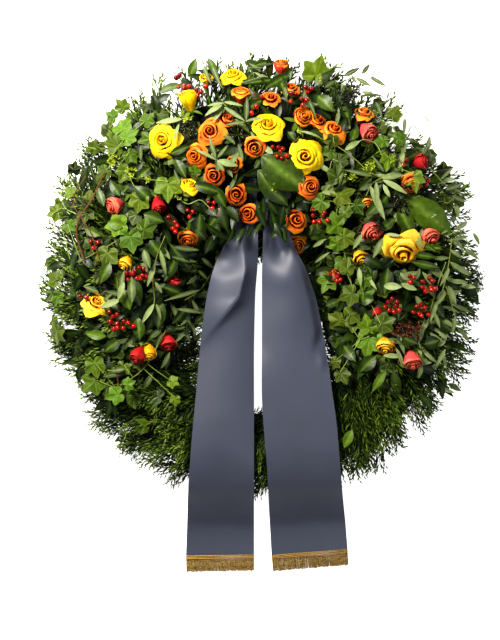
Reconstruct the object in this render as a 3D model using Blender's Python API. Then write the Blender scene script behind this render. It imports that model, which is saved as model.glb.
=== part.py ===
"""Memorial wreath lying on its back: a foam ring on a tray, bound with conifer, with a crescent of
roses, ivy, olive, broad leaves and berries stuck into it, and two ribbon tails with gold fringes.
Metres, +Z up. The ring lies flat, and +Y runs from the foot of the wreath to its top."""

import math
import random

import bpy
import bmesh
import numpy as np
from mathutils import Matrix, Vector
from mathutils.bvhtree import BVHTree

# Driving dimensions, in metres.
RING_RADIUS = 0.255
FOAM_HALF_WIDTH = 0.042
FOAM_FLOOR = 0.004
FOAM_RISE = 0.052
TRAY_HALF_WIDTH = 0.046
TRAY_WALL = 0.003
TRAY_RIM = 0.012
GAP = 0.0004
RING_SEGMENTS = 24
ARCH_SHARES = (0.07, 0.242, 0.414, 0.586, 0.758, 0.93)
COLLAR_SECTORS = 8
COLLAR_THICKNESS_FOOT = 0.012
COLLAR_THICKNESS_TOP = 0.026
RIBBON_WIDTH = 0.127
RIBBON_THICKNESS = 0.0008
RIBBON_COLUMNS = 6
FRINGE_LENGTH = 0.031
FRINGE_TASSELS = 10
STEM_RADIUS = 0.002
TWIG_RADIUS = 0.0014
HOLE_RADIUS = 0.0050
HOLE_REACH = 0.14
WIRE_RADIUS = 0.0011
WIRE_HOLE_RADIUS = 0.0020
STEM_FOOT = 0.028
STEM_LEAST_RISE = 0.35
TUCK = 0.0075
FROND_THICKNESS = 0.0022
IVY_THICKNESS = 0.0020
BROAD_THICKNESS = 0.0018
OLIVE_THICKNESS = 0.0016
BERRY_RADIUS = 0.0052
BERRY_SIDES = 4
IVY_LEAF = 0.038
OLIVE_LEAF = (0.050, 0.012)
OLIVE_SPACING = 0.016
CLEARANCE = 0.0004
LOWEST_LEAF = 0.0015

# The layout was set out from a photograph taken square-on: what one pixel measures at the height of
# the ring, the pixel of the ring's centre, the pixel under the camera, and the camera's height.
PIXEL = 0.0018
RING_PX = (262, 300)
VIEW_PX = (250, 320)
VIEW_HEIGHT = 2.78
PIXEL_HEIGHT = 0.06

# Angle round the ring in degrees, inner reach, outer reach and crest height of the greenery.
MOUND = (
    (-90, 0.200, 0.345, 0.086),
    (-45, 0.170, 0.360, 0.096),
    (0, 0.125, 0.385, 0.122),
    (90, 0.120, 0.425, 0.138),
    (180, 0.125, 0.385, 0.122),
    (225, 0.170, 0.360, 0.096),
    (270, 0.200, 0.345, 0.086),
)
MOUND_EDGE = 0.034

# Red, green, blue, roughness and metallic value.
COLOURS = {
    "tray_plastic": (0.02, 0.05, 0.02, 0.4, 0.0),
    "foam": (0.03, 0.09, 0.03, 0.95, 0.0),
    "conifer": (0.07, 0.16, 0.02, 0.6, 0.0),
    "yellow_petal": (0.90, 0.58, 0.01, 0.55, 0.0),
    "orange_petal": (0.83, 0.20, 0.02, 0.55, 0.0),
    "pink_petal": (0.75, 0.09, 0.10, 0.55, 0.0),
    "ivy_leaf": (0.16, 0.34, 0.06, 0.45, 0.0),
    "olive_leaf": (0.25, 0.32, 0.17, 0.55, 0.0),
    "broad_leaf": (0.05, 0.17, 0.03, 0.3, 0.0),
    "red_berry": (0.60, 0.02, 0.01, 0.25, 0.0),
    "dark_berry": (0.01, 0.01, 0.02, 0.25, 0.0),
    "satin": (0.07, 0.08, 0.11, 0.4, 0.0),
    "gold_thread": (0.50, 0.30, 0.08, 0.4, 0.6),
    "wire": (0.15, 0.15, 0.14, 0.4, 1.0),
}

# Rose heads: pixel x, pixel y, radius in pixels, the way it faces in degrees round the ring's
# plane, its tilt from upright, and how far its middle lies above the greenery, in millimetres.
# The heads in one line share a stem.
YELLOW_ROSES = (
    ((163, 140, 17, 190, 22, 12),),
    ((189, 101, 11, 100, 55, 6), (206, 79, 7, 95, 50, 4)),
    ((233, 77, 12, 95, 50, 8), (243, 97, 10, 280, 35, 10)),
    ((269, 126, 16, 90, 18, 16),),
    ((305, 157, 18, 0, 5, 14),),
    ((188, 189, 12, 60, 50, 10),),
    ((95, 303, 13, 150, 42, 6), (126, 263, 9, 120, 55, 6)),
    ((404, 251, 17, 275, 32, 10),),
    ((386, 344, 11, 265, 55, 6),),
    ((364, 113, 10, 60, 50, 6), (367, 131, 10, 320, 50, 8)),
)
ORANGE_ROSES = (
    ((212, 131, 14, 230, 20, 10), (229, 120, 10, 60, 40, 4)),
    ((197, 156, 11, 210, 30, 8), (215, 176, 10, 240, 25, 4)),
    ((256, 147, 10, 270, 25, 8), (235, 164, 9, 300, 35, 4)),
    ((236, 194, 11, 270, 15, 8), (249, 214, 9, 270, 25, 10)),
    ((309, 187, 12, 280, 20, 10), (297, 219, 11, 270, 20, 14), (297, 240, 9, 275, 55, 14)),
    ((301, 117, 10, 120, 25, 8), (317, 122, 9, 30, 40, 4), (334, 130, 11, 20, 35, 8)),
    ((291, 88, 9, 80, 35, 6), (271, 98, 9, 90, 30, 8), (281, 68, 9, 90, 45, 4)),
    ((411, 184, 11, 300, 30, 8), (419, 162, 10, 10, 55, 8)),
    ((359, 257, 9, 80, 45, 4), (337, 272, 6, 200, 40, 4)),
)
PINK_ROSES = (
    ((158, 204, 9, 300, 55, 6), (188, 237, 10, 300, 45, 8), (115, 204, 10, 215, 55, 8)),
    ((172, 282, 9, 70, 55, 4),),
    ((149, 350, 9, 280, 60, 8), (139, 354, 9, 255, 60, 8), (167, 342, 10, 280, 55, 6)),
    ((371, 229, 12, 310, 45, 8), (368, 203, 8, 270, 40, 2)),
    ((429, 236, 11, 320, 50, 8),),
    ((411, 359, 11, 280, 60, 8), (377, 311, 7, 270, 55, 2)),
)

# Ivy trails: the vine's route in pixels from its root, and the pixel of each leaf's middle.
IVY_TRAILS = (
    (
        ((335, 150), (330, 172), (340, 196), (336, 216), (341, 240), (348, 268), (352, 290), (344, 318)),
        ((331, 143), (331, 160), (340, 176), (323, 197), (340, 204), (331, 221), (344, 239), (330, 281)),
    ),
    (
        ((392, 170), (402, 150), (394, 128)),
        ((413, 177), (394, 114), (408, 150), (384, 138)),
    ),
    (
        ((130, 178), (112, 160), (108, 136)),
        ((94, 148), (120, 128), (139, 202), (104, 172)),
    ),
    (
        ((140, 225), (118, 240), (90, 256), (66, 270), (58, 300), (64, 328)),
        ((115, 223), (132, 243), (106, 256), (70, 226), (57, 214), (49, 260), (56, 283), (58, 306), (60, 334)),
    ),
    (
        ((166, 330), (140, 372), (116, 388)),
        ((124, 369), (94, 382), (115, 396), (173, 382), (97, 364)),
    ),
    (
        ((372, 306), (358, 302), (350, 322), (360, 340)),
        ((346, 267), (350, 293), (365, 296), (339, 323), (352, 313), (368, 329), (373, 345)),
    ),
)

# Olive sprigs: the route in pixels from the root. Leaves stand to each side in turn along it.
OLIVE_SPRIGS = (
    ((172, 236), (160, 262), (152, 290), (150, 312)),
    ((208, 150), (219, 158), (213, 163)),
    ((352, 98), (350, 84), (362, 77), (380, 84)),
    ((392, 174), (374, 178), (366, 190), (386, 206)),
)

# Broad leaves: pixel of the leaf's foot, pixel of its tip and its width in pixels. The leaves in one
# line share a stem.
BROAD_LEAVES = (
    ((268, 158, 306, 190, 24), (262, 170, 288, 203, 16), (255, 172, 240, 188, 14)),
    ((414, 200, 455, 238, 26),),
    ((124, 290, 130, 310, 13), (130, 282, 150, 326, 12), (122, 280, 96, 292, 12)),
)

# Berry sprays: the pixel of each cluster, the first over the stem.
RED_BERRIES = (
    ((190, 86), (182, 90), (199, 90)),
    ((116, 320), (124, 330), (107, 326)),
    ((172, 224), (142, 277), (178, 232)),
    ((411, 282), (427, 287), (395, 305), (420, 310)),
    ((301, 103), (292, 97), (311, 90)),
)
DARK_BERRIES = (
    ((182, 124), (190, 131), (178, 134)),
    ((396, 202), (388, 206), (402, 208)),
)

# Ribbon tails: pixel y, left edge, right edge and height in millimetres, from the root down.
LEFT_TAIL = (
    (178, 240, 256, 100),
    (215, 240, 257, 99),
    (240, 232, 257, 96),
    (262, 218, 257, 92),
    (300, 208, 255, 87),
    (345, 200, 254, 83),
    (390, 194, 254, 84),
    (425, 192, 254, 88),
    (455, 190, 254, 86),
    (485, 188, 254, 64),
    (510, 187, 254, 25),
    (530, 186, 254, 4),
    (554, 186, 254, 2.5),
)
RIGHT_TAIL = (
    (178, 264, 280, 100),
    (215, 264, 282, 99),
    (240, 263, 295, 96),
    (262, 262, 306, 92),
    (300, 262, 313, 87),
    (345, 261, 320, 83),
    (390, 261, 326, 84),
    (425, 262, 331, 88),
    (455, 264, 335, 86),
    (485, 266, 339, 64),
    (510, 268, 342, 25),
    (530, 270, 345, 4),
    (553, 271, 348, 2.5),
)

# Half outlines of the leaves, from foot to tip, in widths and lengths. Each run fans out from a
# point on the rib, at its first number.
IVY_SHAPE = (
    (-0.10, ((0, -0.20), (0.035, -0.06))),
    (0.30, ((0.30, -0.14), (0.52, 0.06), (0.34, 0.26), (0.58, 0.52), (0.20, 0.58), (0, 1.0))),
)
OLIVE_SHAPE = ((0.45, ((0, -0.01), (0.50, 0.36), (0.38, 0.70), (0, 1.0))),)
BROAD_SHAPE = ((0.42, ((0, -0.01), (0.34, 0.14), (0.50, 0.36), (0.36, 0.70), (0, 1.0))),)
FROND_SHAPE = (
    (0.30, ((0, 0), (0.16, 0.15), (0.90, 0.48), (0.24, 0.41))),
    (0.56, ((0.94, 0.78), (0.20, 0.66), (0, 1.0))),
)

# Rows of conifer sprays on each sector: how many, the share of the foam's arch they root at, the
# share of the greenery's width they reach, their rise over it and their spread, in metres. The
# first rows are for the flowered upper half, the others for the bare lower half.
FROND_ROWS = (
    (
        (4, 0.14, 1.00, 0.010, 0.070),
        (2, 0.88, 0.00, 0.010, 0.066),
        (2, 0.30, 0.82, 0.003, 0.070),
    ),
    (
        (4, 0.10, 1.00, 0.006, 0.066),
        (3, 0.90, 0.00, 0.006, 0.060),
        (4, 0.34, 0.88, 0.004, 0.070),
        (3, 0.66, 0.12, 0.004, 0.066),
        (3, 0.52, 0.62, 0.006, 0.070),
    ),
)

MATS = tuple(f"mat_{number}" for number in range(COLLAR_SECTORS))


class Layout:
    """What stands in its place already, so that the next piece can be turned or lifted clear of it."""

    def __init__(self):
        self.pieces = []
        self.holes = []

    def add(self, name, pieces):
        for points, faces in pieces:
            tree = BVHTree.FromPolygons([tuple(p) for p in points], faces)
            self.pieces.append((name, tree, points.min(axis=0), points.max(axis=0)))

    def clear(self, piece, beside=()):
        """True if the piece, grown by the clearance, crosses nothing but what has a name in beside."""
        points, faces = grown(piece, CLEARANCE)
        low = points.min(axis=0)
        high = points.max(axis=0)
        if low[2] < LOWEST_LEAF:
            return False
        tree = BVHTree.FromPolygons([tuple(p) for p in points], faces)
        for name, other, other_low, other_high in self.pieces:
            if name in beside or (low > other_high).any() or (high < other_low).any():
                continue
            if tree.overlap(other) or inside(points[0], other):
                return False
        return True


def inside(point, tree):
    """True if a ray from the point leaves the closed surface an odd number of times."""
    origin = Vector(point)
    ray = Vector((0.0137, 0.0291, 1.0)).normalized()
    crossings = 0
    while True:
        place = tree.ray_cast(origin, ray)[0]
        if place is None:
            return crossings % 2 == 1
        crossings += 1
        origin = place + ray * 1e-6


def grown(piece, margin):
    """The piece with each vertex moved out along its normal."""
    points, faces = piece
    normals = np.zeros_like(points)
    for face in faces:
        a, b, c = points[face[0]], points[face[1]], points[face[2]]
        normal = unit(np.cross(b - a, c - a))
        for index in face:
            normals[index] += normal
    lengths = np.linalg.norm(normals, axis=1, keepdims=True)
    return points + margin * normals / np.maximum(lengths, 1e-12), faces


def unit(vector):
    return vector / max(np.linalg.norm(vector), 1e-12)


def from_photo(px, py, z):
    """The point at height z that the photograph shows at a pixel, from the ring's centre."""
    shrink = (VIEW_HEIGHT - z) / (VIEW_HEIGHT - PIXEL_HEIGHT)
    x = ((px - VIEW_PX[0]) * shrink + VIEW_PX[0] - RING_PX[0]) * PIXEL
    y = ((VIEW_PX[1] - py) * shrink + RING_PX[1] - VIEW_PX[1]) * PIXEL
    return np.array((x, y, z))


def mound_at(degrees):
    """Inner reach, outer reach and crest height of the greenery at an angle round the ring."""
    degrees = (degrees + 90) % 360 - 90
    angles, *rows = np.array(MOUND).T
    return [float(np.interp(degrees, angles, row)) for row in rows]


def mound_height(x, y):
    """Height of the greenery, an elliptical arch across the ring."""
    inner, outer, crest = mound_at(math.degrees(math.atan2(y, x)))
    across = (math.hypot(x, y) - (inner + outer) / 2) / ((outer - inner) / 2)
    return MOUND_EDGE + (crest - MOUND_EDGE) * math.sqrt(max(0.0, 1 - across**2))


def mound_normal(x, y):
    step = 0.012
    slope_x = (mound_height(x + step, y) - mound_height(x - step, y)) / (2 * step)
    slope_y = (mound_height(x, y + step) - mound_height(x, y - step)) / (2 * step)
    return unit(np.array((-slope_x, -slope_y, 1.6)))


def on_mound(px, py, lift):
    """The point that the photograph shows at a pixel, at a height above the greenery."""
    z = 0.1
    for _ in range(4):
        x, y, _ = from_photo(px, py, z)
        z = mound_height(x, y) + lift
    return from_photo(px, py, z)


def frame_of(axis, near):
    """Two unit vectors square to the axis and to each other, the first as near as can be to near."""
    side = near - axis * near.dot(axis)
    if np.linalg.norm(side) < 1e-6:
        side = np.cross(axis, (0.3, 0.9, 0.1))
    side = unit(side)
    return side, np.cross(axis, side)


def tube(path, radius, sides=3):
    """A closed tube along the points, with a flat cap at each end."""
    path = [np.array(p, float) for p in path]
    points = []
    side = np.array((0.31, 0.17, 0.93))
    for index, centre in enumerate(path):
        before = path[max(index - 1, 0)]
        after = path[min(index + 1, len(path) - 1)]
        side, other = frame_of(unit(after - before), side)
        for k in range(sides):
            turn = 2 * math.pi * k / sides
            points.append(centre + radius * (side * math.cos(turn) + other * math.sin(turn)))
    faces = [tuple(reversed(range(sides)))]
    for ring in range(len(path) - 1):
        for k in range(sides):
            a = ring * sides + k
            b = ring * sides + (k + 1) % sides
            faces.append((a, b, b + sides))
            faces.append((a, b + sides, a + sides))
    faces.append(tuple(range((len(path) - 1) * sides, len(path) * sides)))
    return np.array(points), faces


def turned(rows, columns, centre, axis, near):
    """A closed turned body: a row is the heights and the radii round it, and the end rows are points."""
    side, other = frame_of(axis, near)
    points = [centre + axis * rows[0][0]]
    for heights, radii in rows[1:-1]:
        for k in range(columns):
            turn = 2 * math.pi * k / columns
            out = side * math.cos(turn) + other * math.sin(turn)
            points.append(centre + axis * heights[k] + out * radii[k])
    points.append(centre + axis * rows[-1][0])
    last = len(points) - 1
    faces = []
    for k in range(columns):
        after = (k + 1) % columns
        faces.append((0, 1 + after, 1 + k))
        faces.append((last, last - columns + k, last - columns + after))
        for row in range(len(rows) - 3):
            a = 1 + row * columns
            faces.append((a + k, a + after, a + columns + after))
            faces.append((a + k, a + columns + after, a + columns + k))
    return np.array(points), faces


def blade(shape, base, along, up, length, width, thickness, arch):
    """A leaf, thickest along its rib and thin at its edge, that droops over its length and to its
    sides. Both faces are split alike into triangles, which fan out from the points on the rib."""
    side = frame_of(along, np.cross(along, up))[0]
    up = np.cross(side, along)

    def at(x, y, rise=0.0):
        drop = arch * length * max(y, 0.0) ** 2 + 0.35 * arch * abs(x) * width
        return base + side * (x * width) + along * (y * length) + up * (rise - drop)

    half = [point for _, run in shape for point in run]
    last = len(half) - 1
    right = list(range(last + 1))
    left = [0] + [last + k for k in range(1, last)] + [last]
    points = [at(x, y) for x, y in half] + [at(-x, y) for x, y in half[1:-1]]
    faces = []
    done = 0
    for number, (rib, run) in enumerate(shape):
        top = len(points)
        low = top + 1
        points += [at(0, rib, thickness / 2), at(0, rib, -thickness / 2)]
        if number:
            faces += [(top - 2, right[done], top), (top - 2, top, left[done])]
            faces += [(low - 2, low, right[done]), (low - 2, left[done], low)]
        stop = done + len(run) - (number == 0)
        for k in range(done, stop):
            faces += [(top, right[k], right[k + 1]), (top, left[k + 1], left[k])]
            faces += [(low, right[k + 1], right[k]), (low, left[k], left[k + 1])]
        done = stop
    return np.array(points), faces


def rose_head(centre, radius, facing, turn):
    """A rose as cups within cups: each rim has petal tips over the gaps of the rim outside it.
    A small rose has one cup fewer."""
    large = radius > 0.021
    columns = 10 if large else 8
    even = np.arange(columns) % 2 == 0
    tips = np.where(even, 1.10, 0.88)
    gaps = np.where(even, 0.90, 1.08)
    ones = np.ones(columns)
    rows = [
        (-0.62, None),
        (-0.28 * ones, 0.66 * ones),
        (np.where(even, 0.29, 0.17), tips),
        (0.12 * ones, 0.74 * ones),
    ]
    if large:
        rows += [(np.where(even, 0.35, 0.48), 0.68 * gaps), (0.28 * ones, 0.46 * ones)]
    rows += [(np.where(even, 0.60, 0.52), 0.34 * tips), (0.42, None)]
    rows = [(height * radius * 1.05, None if radii is None else radii * radius) for height, radii in rows]
    return turned(rows, columns, centre, facing, np.array((math.cos(turn), math.sin(turn), 0.2)))


def berry(centre, axis):
    """A berry of a few sides, a little longer than wide."""
    ones = np.ones(BERRY_SIDES)
    rows = [(-1.1, None), (-0.45 * ones, 0.92 * ones), (0.5 * ones, 0.86 * ones), (1.1, None)]
    rows = [(height * BERRY_RADIUS, None if radii is None else radii * BERRY_RADIUS) for height, radii in rows]
    return turned(rows, BERRY_SIDES, centre, unit(axis), np.array((0.2, 1.0, 0.4)))


def facing_of(azimuth, tilt):
    a, t = math.radians(azimuth), math.radians(tilt)
    return np.array((math.sin(t) * math.cos(a), math.sin(t) * math.sin(a), math.cos(t)))


def feet_in_foam(start):
    """Places for a thick stem's foot in the foam, the nearest round the ring first, and the way up
    out of it."""
    first = math.atan2(start[1], start[0])
    for drift in (0.0, 0.014, -0.014, 0.024, -0.024):
        radius = RING_RADIUS + drift
        for step in range(41):
            turn = first + math.radians(1.5) * ((step + 1) // 2) * (-1) ** step
            yield np.array((radius * math.cos(turn), radius * math.sin(turn), STEM_FOOT)), np.array((0, 0, 1.0))


def feet_in_mat(start):
    """Places for a thin stem's foot, tucked into the bound conifer, and the way out of it."""
    first = math.atan2(start[1], start[0])
    for share in (0.5, 0.38, 0.62, 0.28, 0.72, 0.18, 0.82):
        for step in range(41):
            turn = first + math.radians(1.5) * ((step + 1) // 2) * (-1) ** step
            foot = collar_point(turn, share, collar_thickness(turn) - TUCK)
            yield foot, unit(collar_point(turn, share, 0.1) - collar_point(turn, share, 0.0))


def stem_down(layout, start, neck, feet):
    """A stem from the neck of what it carries, by a bend, straight down to its foot, with the hole
    that it stands in, at the first foot that leaves it clear of all but the foam and the conifer."""
    for foot, way_out in feet(start):
        reach = unit(start - foot)
        stem = tube([neck, start, foot], STEM_RADIUS)
        if reach.dot(way_out) > STEM_LEAST_RISE and layout.clear(stem, MATS + ("foam",)):
            layout.holes.append(tube([foot - reach * GAP, foot + reach * HOLE_REACH], HOLE_RADIUS))
            return stem, foot
    return None, None


def branch(layout, name, start, stem_top, stem_foot, radius):
    """A branch from a point to the upper part of the node's stem."""
    for share in (0.06, 0.14, 0.22, 0.30, 0.38):
        joint = stem_top + (stem_foot - stem_top) * share
        for bow in (0.0, 0.008, 0.016, -0.008, 0.026):
            middle = (start + joint) / 2 + np.array((0, 0, bow))
            piece = tube([start, middle, joint], radius)
            if layout.clear(piece, (name,)):
                return piece
    return None


def carried(layout, name, held, trunk, heel, neck, radius, feet):
    """Adds the stem of a node's first piece, or the branch of a later one. Gives the node's trunk."""
    if trunk is None:
        stem, foot = stem_down(layout, heel, neck, feet)
        trunk = (heel, foot)
    else:
        stem = branch(layout, name, neck, *trunk, radius)
    if stem is None:
        return None
    layout.add(name, held + [stem])
    held.append(stem)
    return trunk


def add_roses(layout, made):
    """Each head at its place, lifted or made a little smaller until it is clear."""
    draw = random.Random(11)
    for colour, groups in (("yellow", YELLOW_ROSES), ("orange", ORANGE_ROSES), ("pink", PINK_ROSES)):
        for number, heads in enumerate(groups, 1):
            name = f"{colour}_rose_{number:02d}"
            pieces = []
            trunk = None
            for head in heads:
                found, held = add_head(layout, name, trunk, head, draw.uniform(0, 2 * math.pi))
                if found is None:
                    print("no room for a head of", name, head)
                    continue
                trunk = found
                pieces += held
            made[name] = (f"{colour}_petal", pieces)


def add_head(layout, name, trunk, head, turn):
    px, py, pixels, azimuth, tilt, lift = head
    facing = facing_of(azimuth, tilt)
    for shrink in (0.95, 0.89, 0.83, 0.76, 0.68):
        for more in (0, 4, -4, 8, 12, 17, 22, 28):
            centre = on_mound(px, py, (lift + more) * 0.001)
            radius = pixels * PIXEL * shrink
            body = rose_head(centre, radius, facing, turn)
            if not layout.clear(body):
                continue
            held = [body]
            heel = centre - facing * radius * 0.95
            neck = centre - facing * radius * 0.35
            found = carried(layout, name, held, trunk, heel, neck, STEM_RADIUS * 0.8, feet_in_foam)
            if found:
                return found, held
    return None, []


def add_berries(layout, made):
    """Sprays of berry clusters on a branched stem."""
    draw = random.Random(37)
    for colour, sprays in (("red", RED_BERRIES), ("dark", DARK_BERRIES)):
        for number, clusters in enumerate(sprays, 1):
            name = f"{colour}_berries_{number}"
            pieces = []
            trunk = None
            for px, py in clusters:
                found, held = add_cluster(layout, name, trunk, px, py, draw.uniform(0, 2 * math.pi))
                if found is None:
                    print("no room for a cluster of", name, px, py)
                    continue
                trunk = found
                pieces += held
            made[name] = (f"{colour}_berry", pieces)


def add_cluster(layout, name, trunk, px, py, first):
    """Three berries on the end of the stem, or two on that of a branch."""
    for lift in (0.012, 0.018, 0.006, 0.025, 0.033, 0.042):
        centre = on_mound(px, py, lift)
        held = []
        count = 2 if trunk else 3
        for k in range(count):
            turn = first + 2 * math.pi * k / count
            out = unit(np.array((math.cos(turn), math.sin(turn), 0.35)))
            held.append(berry(centre + out * BERRY_RADIUS * 0.95, out))
        if not all(layout.clear(body, (name,)) for body in held):
            continue
        neck = centre + np.array((0, 0, BERRY_RADIUS * 0.2))
        heel = centre - np.array((0, 0, BERRY_RADIUS * 1.5))
        found = carried(layout, name, held, trunk, heel, neck, TWIG_RADIUS, feet_in_mat)
        if found:
            return found, held
    return None, []


def add_broad_leaves(layout, made):
    """Large smooth leaves, each on its own stalk from the top of a stem."""
    for number, leaves in enumerate(BROAD_LEAVES, 1):
        name = f"broad_leaves_{number}"
        pieces = []
        trunk = None
        for leaf in leaves:
            found, held = add_broad_leaf(layout, name, trunk, leaf)
            if found is None:
                print("no room for a leaf of", name, leaf)
                continue
            trunk = found
            pieces += held
        made[name] = ("broad_leaf", pieces)


def add_broad_leaf(layout, name, trunk, leaf):
    foot_x, foot_y, tip_x, tip_y, width = leaf
    for lift in (0.010, 0.016, 0.004, 0.024, 0.034, 0.044):
        foot = on_mound(foot_x, foot_y, lift)
        tip = on_mound(tip_x, tip_y, lift + 0.004)
        up = unit(mound_normal(*((foot + tip) / 2)[:2]) + np.array((0, 0, 1.0)))
        length = np.linalg.norm(tip - foot)
        along = (tip - foot) / length
        body = blade(BROAD_SHAPE, foot, along, up, length, width * PIXEL, BROAD_THICKNESS, 0.10)
        if not layout.clear(body, (name,)):
            continue
        held = [body]
        neck = foot + along * length * 0.16 - up * 0.0006
        heel = foot - along * 0.006 - up * 0.004
        found = carried(layout, name, held, trunk, heel, neck, TWIG_RADIUS, feet_in_mat)
        if found:
            return found, held
    return None, []


def sprig(layout, name, route):
    """A stem out of the bound conifer and a twig along a route, at the first lift over the greenery that
    leaves it clear. The twig is cut short where no lift is."""
    lifts = (0.005, 0.009, 0.013, 0.001, 0.018, 0.025, 0.033)
    best = None
    for lift in lifts:
        places = [on_mound(px, py, lift) for px, py in route]
        kept = places[:1]
        for place in places[1:]:
            if not layout.clear(tube([kept[-1], place], TWIG_RADIUS), (name,)):
                break
            kept.append(place)
        if len(kept) > 1 and (best is None or len(kept) > len(best)):
            start = kept[0] - np.array((0, 0, 0.004))
            neck = kept[0] + (kept[1] - kept[0]) * 0.1
            if stem_down(Trial(layout), start, neck, feet_in_mat)[0] is not None:
                best = kept
    if best is None:
        return [], []
    start = best[0] - np.array((0, 0, 0.004))
    stem, _ = stem_down(layout, start, best[0] + (best[1] - best[0]) * 0.1, feet_in_mat)
    pieces = [stem, tube(best, TWIG_RADIUS)]
    layout.add(name, pieces)
    return pieces, best


class Trial:
    """A layout that takes no holes, to try a stem on."""

    def __init__(self, layout):
        self.clear = layout.clear
        self.holes = []


def nearest_on(path, point):
    """The point of the path that lies nearest."""
    best = path[0]
    for a, b in zip(path, path[1:]):
        share = np.clip((point - a).dot(b - a) / (b - a).dot(b - a), 0, 1)
        place = a + (b - a) * share
        if np.linalg.norm(place - point) < np.linalg.norm(best - point):
            best = place
    return best


def add_ivy(layout, made):
    """Trails of lobed leaves on stalks. A leaf lies on the greenery, its tip away from its vine."""
    draw = random.Random(23)
    for number, (route, leaves) in enumerate(IVY_TRAILS, 1):
        name = f"ivy_trail_{number}"
        pieces, path = sprig(layout, name, route)
        if not pieces:
            print("no room for", name)
            continue
        for px, py in leaves:
            leaf = ivy_leaf(layout, name, path, px, py, draw.uniform(0.92, 1.08) * IVY_LEAF)
            layout.add("leaf", leaf)
            pieces += leaf
        made[name] = ("ivy_leaf", pieces)


def ivy_leaf(layout, name, path, px, py, length):
    """A leaf and its stalk in one blade, which runs out from the vine."""
    middle_share = 0.42
    shortest_stalk = 0.20
    for lift in (0.010, 0.014, 0.006, 0.020, 0.027, 0.035, 0.044):
        middle = on_mound(px, py, lift)
        joint = nearest_on(path, middle)
        up = unit(mound_normal(middle[0], middle[1]) + np.array((0, 0, 0.8)))
        outward = middle - joint + np.array((0.001, -0.002, 0))
        stalk = max(shortest_stalk, np.linalg.norm(outward) / length - middle_share)
        shape = ((IVY_SHAPE[0][0], ((0, -stalk), IVY_SHAPE[0][1][1])), IVY_SHAPE[1])
        for swing in (0, 12, -12, 25, -25, 55, -55, 100, -100):
            turn = math.radians(swing)
            flat = outward - up * outward.dot(up)
            turned_flat = flat * math.cos(turn) + np.cross(up, flat) * math.sin(turn)
            along = unit(turned_flat + up * outward.dot(up))
            foot = joint + along * (stalk * length - TWIG_RADIUS / 4)
            leaf = blade(shape, foot, along, up, length, length, IVY_THICKNESS, 0.16)
            if layout.clear(leaf, (name,)):
                return [leaf]
    print("no room for a leaf of", name, px, py)
    return []


def add_olive(layout, made):
    """Sprigs of narrow leaves, one to each side in turn along a twig."""
    for number, route in enumerate(OLIVE_SPRIGS, 1):
        name = f"olive_sprig_{number}"
        pieces, path = sprig(layout, name, route)
        if not pieces:
            print("no room for", name)
            continue
        for a, b in zip(path, path[1:]):
            count = max(1, round(np.linalg.norm(b - a) / OLIVE_SPACING))
            for k in range(count):
                joint = a + (b - a) * (k + 0.5) / count
                pieces += olive_leaf(layout, name, joint, b - a, (-1) ** k)
        pieces += olive_leaf(layout, name, path[-1], path[-1] - path[-2], 0)
        made[name] = ("olive_leaf", pieces)


def olive_leaf(layout, name, joint, way, hand):
    up = unit(mound_normal(joint[0], joint[1]) + np.array((0, 0, 0.6)))
    ahead = unit(way - up * way.dot(up))
    for splay in (48, 70, 28, 95):
        for rise in (0.12, 0.35, 0.6, -0.1):
            turn = math.radians(splay * hand)
            along = unit(ahead * math.cos(turn) + np.cross(up, ahead) * math.sin(turn) + up * rise)
            leaf = blade(OLIVE_SHAPE, joint, along, up, *OLIVE_LEAF, OLIVE_THICKNESS, 0.15)
            if layout.clear(leaf, (name,)):
                layout.add("leaf", [leaf])
                return [leaf]
    return []


def add_fronds(layout, index):
    """Flat conifer sprays rooted in one sector's mat: an outer fringe, an inner fringe and rows that
    lie over the crest. A spray that finds no clear way is left out."""
    sector = 360 / COLLAR_SECTORS
    draw = random.Random(70 + index)
    pieces = []
    for count, share, reach, rise, spread in FROND_ROWS[index >= COLLAR_SECTORS // 2]:
        for k in range(count):
            degrees = sector * (index + (k + 0.5 + draw.uniform(-0.2, 0.2)) / count)
            share_here = share + draw.uniform(-0.04, 0.04)
            reach_here = reach if reach in (0.0, 1.0) else reach + draw.uniform(-0.12, 0.12)
            width = spread * 0.5 * draw.uniform(0.85, 1.1)
            arch = draw.uniform(0.02, 0.10)
            pieces += frond(layout, MATS[index], degrees, share_here, reach_here, rise, width, arch)
    return pieces


def frond(layout, mat, degrees, share, reach, rise, width, arch):
    """One spray, from its root deep in the mat to where it reaches in the greenery."""
    turn = math.radians(degrees)
    root = collar_point(turn, share, collar_thickness(turn) - 0.007)
    inner, outer, _ = mound_at(degrees)
    radius = inner + (outer - inner) * reach
    outward = np.array((math.cos(turn), math.sin(turn), 0))
    lean = 0.5 if share < 0.5 else -0.5
    for pull in (1.0, 0.9, 0.8, 0.68, 0.55):
        for swing in (0, 5, -5, 10, -10):
            aim = turn + math.radians(swing)
            x, y = radius * math.cos(aim), radius * math.sin(aim)
            z = mound_height(x, y) + rise - (1 - pull) * 0.02
            tip = root + (np.array((x, y, z)) - root) * pull
            length = np.linalg.norm(tip - root)
            if length < 0.03:
                continue
            along = (tip - root) / length
            up = np.array((0, 0, 1.0)) + outward * lean
            up = unit(up - along * up.dot(along))
            piece = blade(FROND_SHAPE, root, along, up, length, width, FROND_THICKNESS, arch)
            if layout.clear(piece, (mat,)):
                layout.add("frond", [piece])
                return [piece]
    return []


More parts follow.
